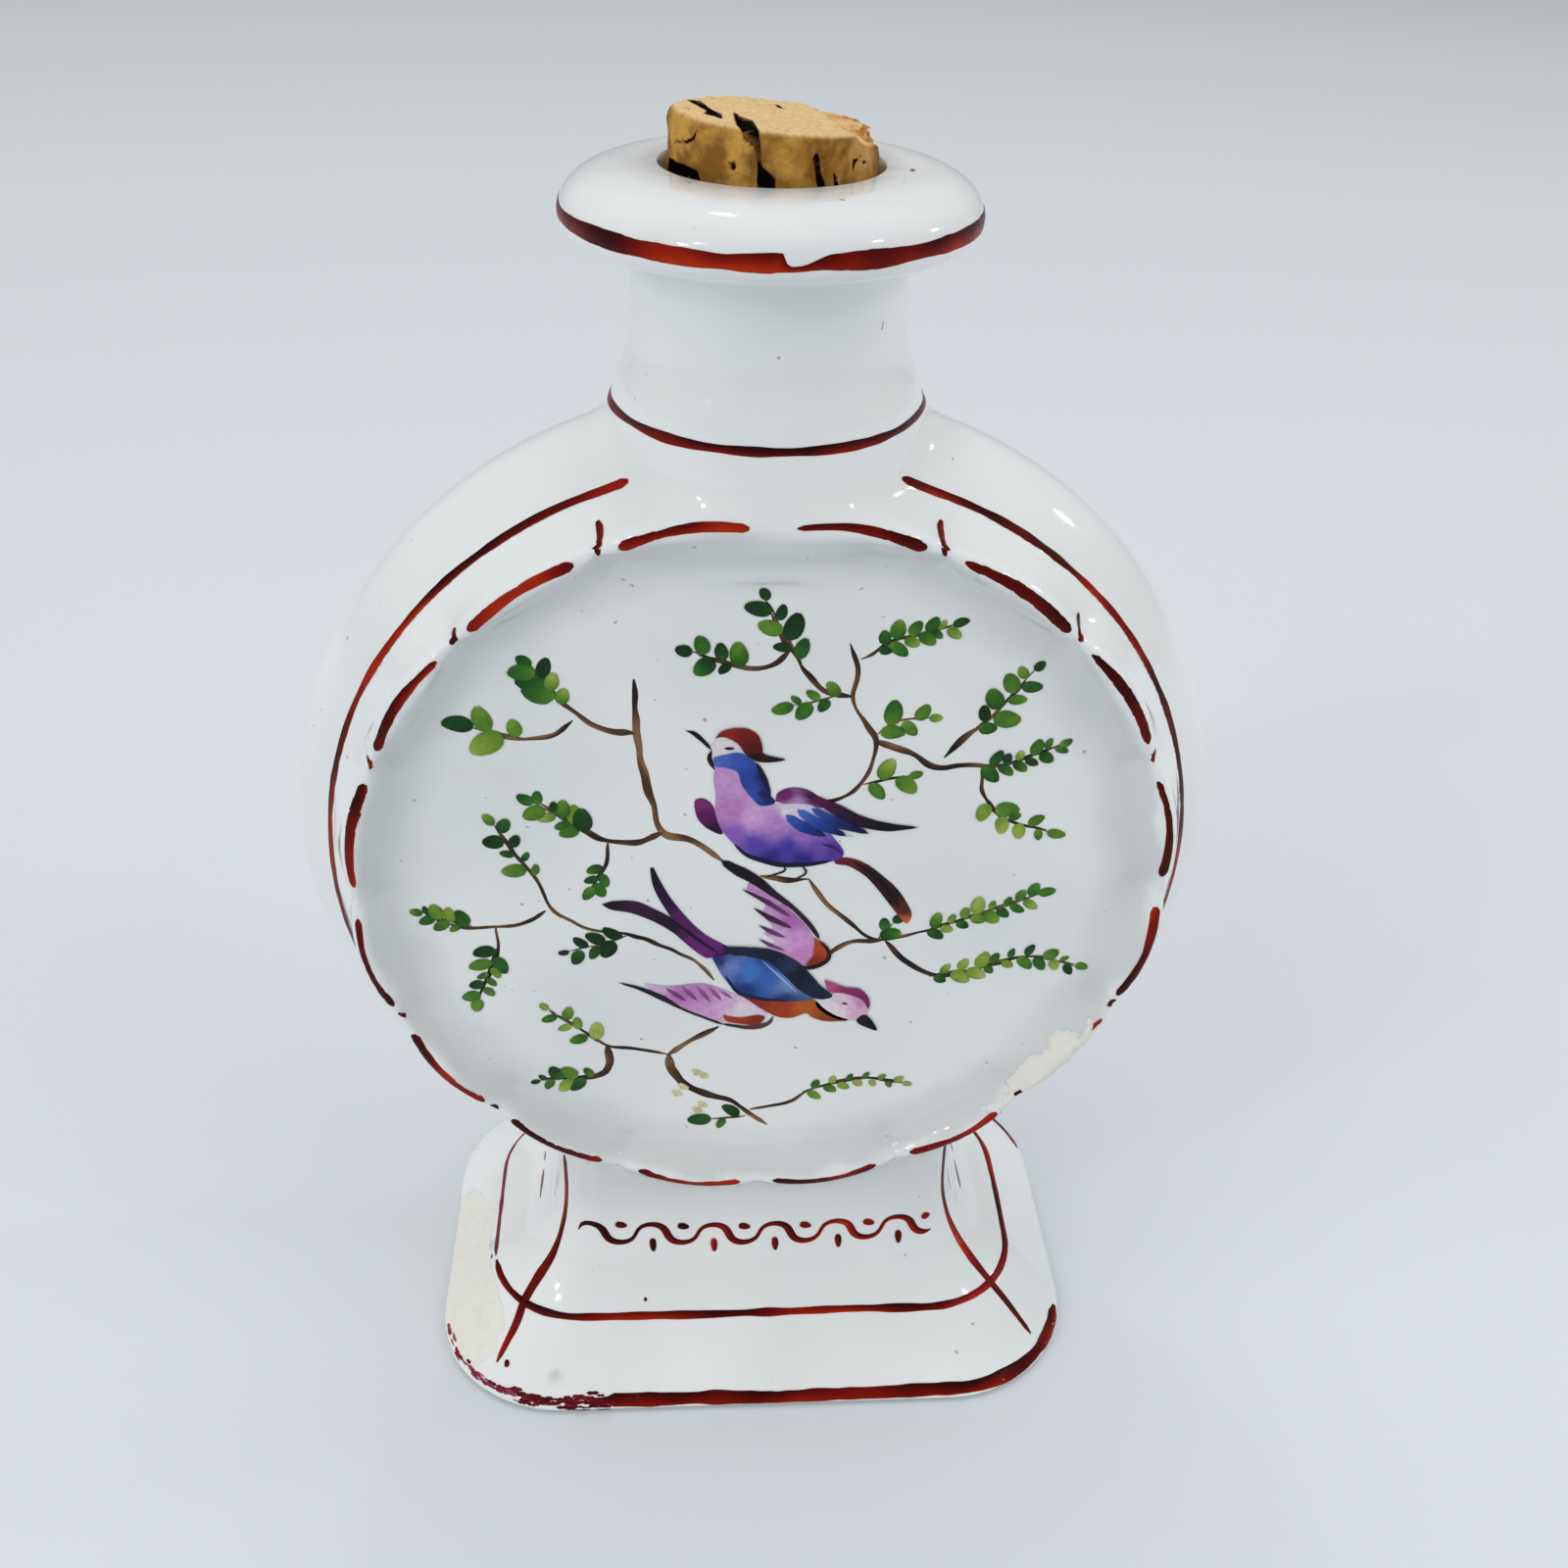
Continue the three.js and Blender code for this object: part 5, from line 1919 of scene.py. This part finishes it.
    def bough(self, paint: Paint, bough: Bough, to_plate: Placing, seed: int) -> None:
        """Paints a branch, thin and brown, darker where the brush was loaded.

        Args:
            paint: The layer to paint in.
            bough: The branch.
            to_plate: Function that gives the places of rows of X and height.
            seed: Seed of its changes.
        """
        path = to_plate(curve_through(bough.path, 0.4))
        path = path + 0.13 * np.stack([ripple(path, 5.0, seed + k, 2) for k in range(3)], axis=1)
        shares = np.linspace(0.0, 1.0, len(path))
        widths = 1.3 * (bough.start + (bough.end - bough.start) * shares) * (1.0 + 0.3 * ripple(path, 4.0, seed, 2))
        load = np.clip(0.5 + 0.55 * ripple(path, 7.0, seed + 3, 2), 0.0, 1.0)
        tilt = 0.45 * ripple(path, 9.0, seed + 4, 2)
        tones = shaded_across(("#8d6a45", "#5f4128", "#3a251a", "#1a100f"), load, tilt)
        paint.stroke(path, widths * tapered(len(path), 0.3, 4.0), tones)

    def leaf(
        self,
        paint: Paint,
        base: np.ndarray,
        aim: float,
        length: float,
        to_plate: Placing,
        random: np.random.Generator,
        tone: float,
    ) -> None:
        """Paints one leaf with a single press of the brush.

        Args:
            paint: The layer to paint in.
            base: Where it grows, as X and height.
            aim: Its direction in radians.
            length: Its length.
            to_plate: Function that gives the places of rows of X and height.
            random: Source of its changes.
            tone: Mean lightness of its green, from 0 to 1.
        """
        shares = np.linspace(0.0, 1.0, 8)[:, None]
        bend = random.uniform(-0.35, 0.35)
        reach = np.array([math.cos(aim), math.sin(aim)])
        aside = np.array([-reach[1], reach[0]])
        rows = base + length * (shares * reach + bend * shares * (1.0 - shares) * aside)
        fat = length * random.uniform(0.58, 0.80)
        widths = fat * np.sqrt(np.sin(np.clip(0.03 + 0.95 * shares[:, 0] ** 0.85, 0.0, 1.0) * math.pi))
        greens = ["#0b3312", "#174f18", "#33701c", "#5f8f28", "#8fae3e", "#b3c062"]
        start = np.clip(tone + random.uniform(-0.3, 0.3), 0.0, 0.9)
        end = np.clip(start + random.uniform(-0.35, 0.45), 0.0, 1.0)
        load = start + (end - start) * shares[:, 0]
        rim = 1.0 - random.uniform(0.15, 0.4) * np.abs(ACROSS) ** 3
        colours = blend_colours(greens, load)[:, None, :] * rim[None, :, None]
        paint.stroke(to_plate(rows), widths, colours, layer=random.integers(1, 4))

    def sprig(self, paint: Paint, sprig: Sprig, to_plate: Placing, seed: int) -> None:
        """Paints the leaves along the end of a branch.

        Args:
            paint: The layer to paint in.
            sprig: The leaves.
            to_plate: Function that gives the places of rows of X and height.
            seed: Seed of their changes.
        """
        random = np.random.default_rng(seed)
        path = curve_through(sprig.path, 0.25)
        for number in range(sprig.leaves):
            share = (number + 0.6) / sprig.leaves
            spot = min(int(share * (len(path) - 1)), len(path) - 2)
            run = path[spot + 1] - path[spot]
            side = 1 if number % 2 else -1
            spread = random.uniform(0.7, 1.15) if number < sprig.leaves - 1 else 0.1
            aim = math.atan2(run[1], run[0]) + side * spread
            size = 0.95 * sprig.length * random.uniform(0.65, 1.3) * (1.1 - 0.3 * share)
            away = 0.1 * np.array([math.cos(aim), math.sin(aim)])
            self.leaf(paint, path[spot] + away, aim, size, to_plate, random, sprig.tone)

    def bird(self, paint: Paint, bird: PerchedBird | DivingBird) -> None:
        """Paints a bird on the front.

        Args:
            paint: The layer to paint in.
            bird: The bird.
        """
        for patch in bird.patches:
            outline = curve_through(patch.outline + patch.outline[:1], 0.3)[:-1]
            paint.patch(outline, patch.colours_at, self.on_front, patch.layer)
        for stroke in bird.strokes:
            path = curve_through(stroke.path, 0.3)
            shares = np.linspace(0.0, 1.0, len(path))
            widths = np.interp(shares, np.linspace(0.0, 1.0, len(stroke.widths)), stroke.widths)
            tones = blend_colours(list(stroke.tones), shares)
            widths = widths * tapered(len(path), 0.2, 2.5)
            paint.stroke(self.on_front(path), widths, tones, layer=stroke.layer)

    def build(self, surface: BVHTree) -> list[bpy.types.Object]:
        """Paints the picture and the sprig behind.

        Args:
            surface: The porcelain to paint on.

        Returns:
            The boughs, leaves and birds as three mesh objects.
        """
        boughs = Paint("brown_boughs", surface, film=0.03)
        leaves = Paint("green_leaves", surface, film=0.045)
        birds = Paint("painted_birds", surface, film=0.045)
        for number, bough in enumerate(self.boughs):
            self.bough(boughs, bough, self.on_front, 500 + number)
        for number, sprig in enumerate(self.sprigs):
            self.sprig(leaves, sprig, self.on_front, 600 + number)
            self.bough(boughs, Bough(sprig.path, 0.24, 0.14), self.on_front, 660 + number)
        for x, z in ((-9.6, -28.4), (-8.9, -27.4), (-7.4, -25.3), (-6.6, -25.8), (-7.4, -31.0), (-6.8, -30.2)):
            smear = self.on_front(np.array([[x, z], [x + 0.5, z - 0.5], [x + 1.1, z - 0.7]]))
            pale = blend_colours(["#dcd9ae", "#d2ce98"], np.array([0, 1, 0]))
            leaves.stroke(smear, np.array([0.4, 1.0, 0.4]), pale)
        self.bird(birds, PerchedBird())
        self.bird(birds, DivingBird())
        stem = Bough([(-9, -9), (-4, -4), (1, 1.5), (6, 8), (9, 12)], 0.6, 0.25)
        twig = Bough([(-2.5, -2.5), (3, -4), (8, -3)], 0.4, 0.2)
        self.bough(boughs, stem, self.on_back, 700)
        self.bough(boughs, twig, self.on_back, 701)
        self.sprig(leaves, Sprig(stem.path[2:], 12, 2.4, 0.35), self.on_back, 702)
        self.sprig(leaves, Sprig(twig.path[1:], 6, 2.2, 0.45), self.on_back, 703)
        return [boughs.build(), leaves.build(), birds.build()]


# Finishes


class NodeSheet:
    """A material's node tree, with short ways to add and link nodes."""

    def __init__(self, name: str) -> None:
        """Makes a material with a shader and nothing else.

        Args:
            name: Name of the material.
        """
        self.material = bpy.data.materials.new(name)
        self.material.use_nodes = True
        self.tree = self.material.node_tree
        self.shader = self.tree.nodes["Principled BSDF"]

    def node(self, kind: str, inputs: dict | None = None, **settings: object) -> bpy.types.Node:
        """Adds a node.

        Args:
            kind: Blender's node type, without its common prefix.
            inputs: Values, or sockets to link, by input name or number.
            **settings: Values set on the node.

        Returns:
            The new node.
        """
        node = self.tree.nodes.new("ShaderNode" + kind)
        for key, value in settings.items():
            setattr(node, key, value)
        for key, value in (inputs or {}).items():
            self.put(node.inputs[key], value)
        return node

    def put(self, socket: bpy.types.NodeSocket, value: object) -> None:
        """Sets or links an input.

        Args:
            socket: The input.
            value: A value, or an output socket to link.
        """
        if isinstance(value, bpy.types.NodeSocket):
            self.tree.links.new(value, socket)
        else:
            socket.default_value = value

    def shade(self, **values: object) -> None:
        """Sets or links the shader's inputs.

        Args:
            **values: Values by input name, with spaces written as underscores.
        """
        for key, value in values.items():
            self.put(self.shader.inputs[key.replace("_", " ")], value)

    def colour(self, code: str) -> tuple[float, float, float, float]:
        """Turns a hex colour into a socket's value.

        Args:
            code: Six hex digits after a hash sign.

        Returns:
            Red, green, blue and 1.
        """
        return (*linear(code), 1.0)

    def noise(self, scale_mm: float, detail: float = 3.0, roughness: float = 0.5) -> bpy.types.NodeSocket:
        """Adds noise over the object's own coordinates.

        Args:
            scale_mm: Size of its largest lumps in millimetres.
            detail: Number of finer layers.
            roughness: Strength of the finer layers.

        Returns:
            The noise's output.
        """
        spots = self.node("TexCoord").outputs["Object"]
        inputs = {"Vector": spots, "Scale": 1.0 / (scale_mm * MM), "Detail": detail, "Roughness": roughness}
        return self.node("TexNoise", inputs).outputs["Fac"]

    def ramp(self, value: bpy.types.NodeSocket, stops: list[tuple[float, str]]) -> bpy.types.NodeSocket:
        """Adds a colour ramp.

        Args:
            value: The value that picks the colour.
            stops: Places and hex colours, from low to high.

        Returns:
            The ramp's colour output.
        """
        node = self.node("ValToRGB", {"Fac": value})
        steps = node.color_ramp.elements
        while len(steps) < len(stops):
            steps.new(0.5)
        for step, (place, code) in zip(steps, stops):
            step.position = place
            step.color = self.colour(code)
        return node.outputs["Color"]

    def mix(self, share: object, first: object, second: object, blend: str = "MIX") -> bpy.types.NodeSocket:
        """Adds a colour mix.

        Args:
            share: How much of the second colour.
            first: First colour or output.
            second: Second colour or output.
            blend: Blender's blend type.

        Returns:
            The mixed colour.
        """
        node = self.node("Mix", data_type="RGBA", blend_type=blend)
        for socket, value in ((node.inputs[0], share), (node.inputs[6], first), (node.inputs[7], second)):
            self.put(socket, value)
        return node.outputs[2]

    def sum(self, kind: str, first: object, second: object) -> bpy.types.NodeSocket:
        """Adds a math node.

        Args:
            kind: Blender's operation name.
            first: First value or output.
            second: Second value or output.

        Returns:
            The result.
        """
        return self.node("Math", {0: first, 1: second}, operation=kind).outputs[0]

    def span(
        self, value: bpy.types.NodeSocket, low: float, high: float, start: float, end: float
    ) -> bpy.types.NodeSocket:
        """Adds a clamped range map.

        Args:
            value: The value to map.
            low: Input that gives the start.
            high: Input that gives the end.
            start: Lowest result.
            end: Highest result.

        Returns:
            The mapped value.
        """
        inputs = {"Value": value, 1: low, 2: high, 3: start, 4: end}
        return self.node("MapRange", inputs).outputs[0]

    def bump(
        self,
        height: bpy.types.NodeSocket,
        depth_mm: float,
        strength: float,
        normal: bpy.types.NodeSocket | None = None,
    ) -> bpy.types.NodeSocket:
        """Adds a bump.

        Args:
            height: Height from 0 to 1.
            depth_mm: Depth that 1 stands for, in millimetres.
            strength: Share of the bump that shows.
            normal: Output of a bump below it.

        Returns:
            The bumped normal.
        """
        inputs = {"Height": height, "Distance": depth_mm * MM, "Strength": strength}
        if normal:
            inputs["Normal"] = normal
        return self.node("Bump", inputs).outputs["Normal"]

    def attribute(self, name: str) -> bpy.types.Node:
        """Adds a reader of a mesh attribute.

        Args:
            name: The attribute's name.

        Returns:
            The node.
        """
        return self.node("Attribute", attribute_name=name)


@dataclass(frozen=True)
class PorcelainFinish:
    """Cool white porcelain under a clear glaze: bluish where the glaze is thick, cream where it is gone, grey with
    painted shade in the coves.
    """

    glaze: str = "#eeefee"
    pool: str = "#e1e5e5"
    # Grey of the coves and the waist: thick glaze and painted shade.
    cove: str = "#aeb4b6"
    bare: str = "#e9e8df"
    stain: str = "#d9d3c5"
    grime: str = "#8b8774"
    roughness: float = 0.09

    def make(self) -> bpy.types.Material:
        """Makes the material.

        Returns:
            The material.
        """
        sheet = NodeSheet("glazed_porcelain")
        clouds = sheet.noise(26.0, 2.0)
        white = sheet.mix(sheet.span(clouds, 0.35, 0.7, 0.0, 1.0), sheet.colour(self.glaze),
                          sheet.colour(self.pool))
        specks = sheet.noise(1.1, 1.0)
        speck_mask = sheet.span(specks, 0.785, 0.81, 0.0, 0.7)
        white = sheet.mix(speck_mask, white, sheet.colour("#8d8377"))
        # Painted shade with thick glaze greys the coves and the waist.
        white = sheet.mix(sheet.attribute("pooled").outputs["Fac"], white, sheet.colour(self.cove))
        rub = sheet.span(sheet.noise(14.0, 4.0, 0.65), 0.62, 0.80, 0.0, 0.10)
        white = sheet.mix(rub, white, sheet.colour("#cbb78f"))
        smudge = sheet.sum("MULTIPLY", sheet.attribute("soil").outputs["Fac"],
                           sheet.span(specks, 0.3, 0.6, 0.4, 1.0))
        white = sheet.mix(smudge, white, sheet.colour(self.grime))
        gone = sheet.attribute("bare").outputs["Fac"]
        grain = sheet.noise(1.6, 4.0, 0.6)
        edge = sheet.sum("ADD", gone, sheet.span(grain, 0.3, 0.7, -0.18, 0.18))
        mask = sheet.span(edge, 0.42, 0.58, 0.0, 1.0)
        cream = sheet.mix(sheet.span(grain, 0.5, 0.75, 0.0, 0.5), sheet.colour(self.bare), sheet.colour(self.stain))
        rim = sheet.sum("MULTIPLY", sheet.span(edge, 0.30, 0.45, 0.0, 1.0), sheet.span(edge, 0.45, 0.62, 0.35, 0.0))
        white = sheet.mix(rim, white, sheet.colour("#a9a3ad"))
        ripple_skin = sheet.bump(sheet.noise(9.0, 1.0), 0.20, 0.55)
        fine_skin = sheet.bump(sheet.noise(2.4, 2.0), 0.02, 0.5, ripple_skin)
        pitted = sheet.bump(sheet.sum("MULTIPLY", grain, mask), 0.05, 0.6, fine_skin)
        sheet.shade(
            Base_Color=sheet.mix(mask, white, cream),
            Roughness=sheet.span(mask, 0.0, 1.0, self.roughness, 0.45),
            Coat_Weight=sheet.span(mask, 0.0, 1.0, 0.6, 0.0),
            Coat_Roughness=0.04,
            IOR=1.5,
            Normal=pitted,
        )
        return sheet.material


@dataclass(frozen=True)
class EnamelFinish:
    """Overglaze enamel: fired paint, a little less glossy than the glaze, streaked by the brush."""

    name: str
    streak_mm: float
    streak: float
    roughness: float = 0.24
    relief: float = 0.02
    specular: float = 0.18

    def make(self) -> bpy.types.Material:
        """Makes the material.

        Returns:
            The material.
        """
        sheet = NodeSheet(self.name)
        paint = sheet.attribute("paint").outputs["Color"]
        grain = sheet.noise(self.streak_mm, 3.0, 0.6)
        darker = sheet.mix(sheet.span(grain, 0.35, 0.7, 0.0, self.streak), paint, sheet.colour("#6b5c58"),
                           "MULTIPLY")
        worn = sheet.span(sheet.noise(self.streak_mm * 1.4, 3.0, 0.6), 0.70, 0.78, 0.0, 0.2)
        body = sheet.mix(worn, darker, sheet.colour("#c9a48e"))
        sheet.shade(
            Base_Color=body,
            Roughness=sheet.span(grain, 0.3, 0.7, self.roughness, self.roughness + 0.15),
            Specular_IOR_Level=self.specular,
            Normal=sheet.bump(grain, self.relief, 0.6),
        )
        return sheet.material


@dataclass(frozen=True)
class CorkFinish:
    """Natural cork: tan and matt with pores and lenticels, brown at the edges of its cracks with near-black painted
    shade deeper in, orange where torn.
    """

    pale: str = "#d2a24c"
    plain: str = "#a26c1a"
    deep: str = "#704408"
    head: str = "#e6c792"
    fresh: str = "#ebc388"
    burnt: str = "#b96a14"
    # Near-black painted shade deep in the cracks.
    dark: str = "#0c0503"

    def make(self) -> bpy.types.Material:
        """Makes the material.

        Returns:
            The material.
        """
        sheet = NodeSheet("natural_cork")
        spots = sheet.node("TexCoord").outputs["Object"]
        grain = sheet.noise(2.2, 5.0, 0.65)
        skin = sheet.ramp(grain, [(0.28, self.deep), (0.45, self.plain), (0.68, self.pale)])
        broad = sheet.noise(7.0, 2.0)
        skin = sheet.mix(sheet.span(broad, 0.35, 0.6, 0.0, 0.75), skin, sheet.colour(self.pale))
        blotch = sheet.span(sheet.noise(4.2, 3.0, 0.6), 0.43, 0.58, 0.0, 0.85)
        skin = sheet.mix(blotch, skin, sheet.colour(self.deep))
        head = sheet.attribute("head").outputs["Fac"]
        skin = sheet.mix(sheet.sum("MULTIPLY", head, 0.93), skin, sheet.colour(self.head))
        torn = sheet.attribute("torn").outputs["Fac"]
        scorch = sheet.span(grain, 0.48, 0.62, 0.0, 0.85)
        flesh = sheet.mix(scorch, sheet.colour(self.fresh), sheet.colour(self.burnt))
        skin = sheet.mix(sheet.sum("MULTIPLY", torn, 0.9), skin, flesh)
        stretch = sheet.node("Mapping", {"Vector": spots, "Scale": (1.0, 1.0, 0.28)}).outputs[0]
        pores = sheet.node("TexNoise", {"Vector": stretch, "Scale": 1100.0, "Detail": 3.0}).outputs["Fac"]
        pore_mask = sheet.span(pores, 0.62, 0.74, 0.0, 0.45)
        skin = sheet.mix(pore_mask, skin, sheet.colour("#6b4010"))
        cells = sheet.noise(0.35, 2.0)
        skin = sheet.mix(sheet.span(cells, 0.35, 0.65, 0.28, 0.0), skin, sheet.colour("#8c5c1c"))
        crack = sheet.attribute("crack").outputs["Fac"]
        skin = sheet.mix(sheet.span(crack, 0.05, 0.4, 0.0, 0.7), skin, sheet.colour("#6a3812"))
        # Painted shade: the cracks turn near-black and lose their sheen deeper in.
        crack_shade_mask = sheet.span(crack, 0.35, 0.7, 0.0, 1.0)
        height = sheet.sum("SUBTRACT", sheet.span(grain, 0.2, 0.8, 0.3, 1.0), pore_mask)
        sheet.shade(
            Base_Color=sheet.mix(crack_shade_mask, skin, sheet.colour(self.dark)),
            Roughness=sheet.span(grain, 0.3, 0.7, 0.78, 0.92),
            Specular_IOR_Level=sheet.span(crack_shade_mask, 0.0, 1.0, 0.3, 0.02),
            Normal=sheet.bump(cells, 0.06, 0.5, sheet.bump(height, 0.22, 0.8)),
        )
        return sheet.material


@dataclass(frozen=True)
class GroundFinish:
    """Plain pale matt floor."""

    tone: str = "#d8dde1"

    def make(self) -> bpy.types.Material:
        """Makes the material.

        Returns:
            The material.
        """
        sheet = NodeSheet("pale_ground")
        sheet.shade(Base_Color=sheet.colour(self.tone), Roughness=0.6)
        return sheet.material


# The stage


@dataclass
class SoftLight:
    """A square soft light that faces the flask."""

    name: str
    place: tuple[float, float, float]
    size: float
    power: float
    mirrored: bool = False
    target: tuple[float, float, float] = (0.0, 0.0, 0.07)

    def build(self) -> None:
        """Adds the light."""
        data = bpy.data.lights.new(self.name, "AREA")
        data.energy, data.size = self.power, self.size
        lamp = bpy.data.objects.new(self.name, data)
        lamp.visible_glossy = self.mirrored
        lamp.location = self.place
        aim = Vector(self.target) - Vector(self.place)
        lamp.rotation_euler = aim.to_track_quat("-Z", "Y").to_euler()
        bpy.context.collection.objects.link(lamp)


@dataclass
class Studio:
    """Floor, lights and the camera at the photograph's view."""

    camera_place: tuple[float, float, float] = (-8.02, -144.06, 163.93)
    pan: float = 4.231
    tilt: float = -32.984
    roll: float = 1.757
    focal_pixels: float = 1649.89
    frame_pixels: float = 1600.0
    sensor: float = 36.0
    sky: str = "#e6e9eb"
    sky_strength: float = 0.49

    def camera(self) -> None:
        """Adds the camera and makes it the scene's."""
        pan, tilt, roll = (math.radians(angle) for angle in (self.pan, self.tilt, self.roll))
        ahead = Vector((math.sin(pan) * math.cos(tilt), math.cos(pan) * math.cos(tilt), math.sin(tilt)))
        level = Vector((math.cos(pan), -math.sin(pan), 0.0))
        up = level.cross(ahead)
        right = level * math.cos(roll) + up * math.sin(roll)
        above = right.cross(ahead)
        data = bpy.data.cameras.new("photo_view")
        data.sensor_width = self.sensor
        data.lens = self.sensor * self.focal_pixels / self.frame_pixels
        data.clip_start = 0.01
        eye = bpy.data.objects.new("photo_view", data)
        axes = Matrix((right, above, -ahead)).transposed().to_4x4()
        eye.matrix_world = Matrix.Translation(Vector(self.camera_place) * MM) @ axes
        bpy.context.collection.objects.link(eye)
        bpy.context.scene.camera = eye

    def ground(self) -> bpy.types.Object:
        """Adds the floor.

        Returns:
            The floor's object.
        """
        bpy.ops.mesh.primitive_plane_add(size=4.0)
        floor = bpy.context.active_object
        floor.name = "pale_floor"
        floor.data.materials.append(GroundFinish().make())
        return floor

    def lights(self) -> None:
        """Adds the soft lights and the even light all round."""
        SoftLight("left_window", (-1.3, -0.7, 0.9), 1.6, 9.6).build()
        SoftLight("right_window", (1.4, -0.5, 0.9), 1.6, 7.4).build()
        SoftLight("broad_top", (0.0, 0.4, 1.6), 2.0, 12.4).build()
        lamps = ((-0.56, -0.44, 0.46), (-0.50, -0.50, 0.60), (0.70, 0.12, 0.46), (0.60, -0.30, 0.62),
                 (-0.1, 0.5, 0.9))
        for number, place in enumerate(lamps):
            SoftLight(f"lamp_{number}", place, 0.04, 0.26, mirrored=True).build()
        world = bpy.data.worlds.new("soft_room")
        world.use_nodes = True
        back = world.node_tree.nodes["Background"]
        back.inputs["Color"].default_value = (*linear(self.sky), 1.0)
        back.inputs["Strength"].default_value = self.sky_strength
        bpy.context.scene.world = world

    def build(self) -> None:
        """Builds the stage."""
        bpy.context.scene.view_settings.view_transform = "Standard"
        self.camera()
        self.ground()
        self.lights()


def dress(thing: bpy.types.Object, material: bpy.types.Material, slot: Slot) -> None:
    """Gives a piece its material and ties it to the frame.

    Args:
        thing: The piece.
        material: Its material.
        slot: Its slot of the record; not used.
    """
    thing.data.materials.clear()
    thing.data.materials.append(material)
    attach(thing, "root")
    LOG.info("%s: %d faces", thing.name, len(thing.data.polygons))


def main() -> None:
    """Builds the flask, its cork, its painting and the stage."""
    logging.basicConfig(level=logging.INFO, format="%(message)s")
    flask_low, flask_high = box_mm("flask")
    cork_low, cork_high = box_mm("cork")
    Studio().build()
    lip_top = flask_high[2]
    band_radius = (flask_high[0] - flask_low[0]) / 2
    drum_height = lip_top - DRUM_BELOW_LIP
    foot = Foot(FOOT_WIDTH, flask_high[1] - flask_low[1], drum_height - WAIST_BELOW_DRUM)
    neck = Neck(drum_height + NECK_ROOT_OVER_DRUM, lip_top - FLARE_BELOW_LIP, lip_top - LIP_THICKNESS, lip_top)
    side_loss = GlazeLoss([
        (-39.5, 7.0), (-36.2, 6.5), (-33.2, 2.0), (-32.2, -1.0), (-32.4, -5.0), (-32.0, -9.0), (-31.5, -11.0),
        (-30.9, -13.1), (-30.0, -15.0), (-30.1, -17.2), (-30.6, -18.8), (-32.0, -19.5), (-33.4, -19.7),
        (-35.8, -17.6), (-39.5, -12.0)], 0.16, 1.0)
    film_edge = GlazeLoss([
        (-28.2, -17.7), (-25.8, -18.1), (-22.6, -19.3), (-19.5, -20.3), (-19.8, -21.2), (-22.6, -21.2),
        (-26.3, -20.2), (-26.6, -21.4), (-29.4, -21.8), (-29.2, -19.2)], 0.10, 0.0)
    soils = [
        Soil((-13.6, -13.2, drum_height + 43.2), 1.7, 0.6),
        Soil((-23.4, -22.9, 3.0), 1.3, 0.35),
        Soil((-32.5, -5.6, 6.1), 1.2, 0.5),
    ]
    drum = Drum(drum_height, band_radius)
    body = FlaskBody(drum, foot, neck, Chip(drum), [side_loss, film_edge], soils)
    flask = body.build()
    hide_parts("flask")
    dress(flask, PorcelainFinish().make(), Slot.PORCELAIN)
    surface = BVHTree.FromObject(flask, bpy.context.evaluated_depsgraph_get())
    lines = RedLines(body).build(surface)
    dress(lines, EnamelFinish("iron_red_enamel", 1.2, 0.25, specular=0.09).make(), Slot.PORCELAIN)
    brown = EnamelFinish("brown_enamel", 0.8, 0.4)
    green = EnamelFinish("leaf_green_enamel", 0.7, 0.35)
    mixed = EnamelFinish("bird_enamels", 0.6, 0.25)
    for piece, finish in zip(Picture(body.drum).build(surface), (brown, green, mixed)):
        dress(piece, finish.make(), Slot.PORCELAIN)
    cork = Cork(lip_top, cork_high[2], cork_low[2]).build()
    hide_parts("cork")
    dress(cork, CorkFinish().make(), Slot.CORK)


if __name__ == "__main__":
    main()
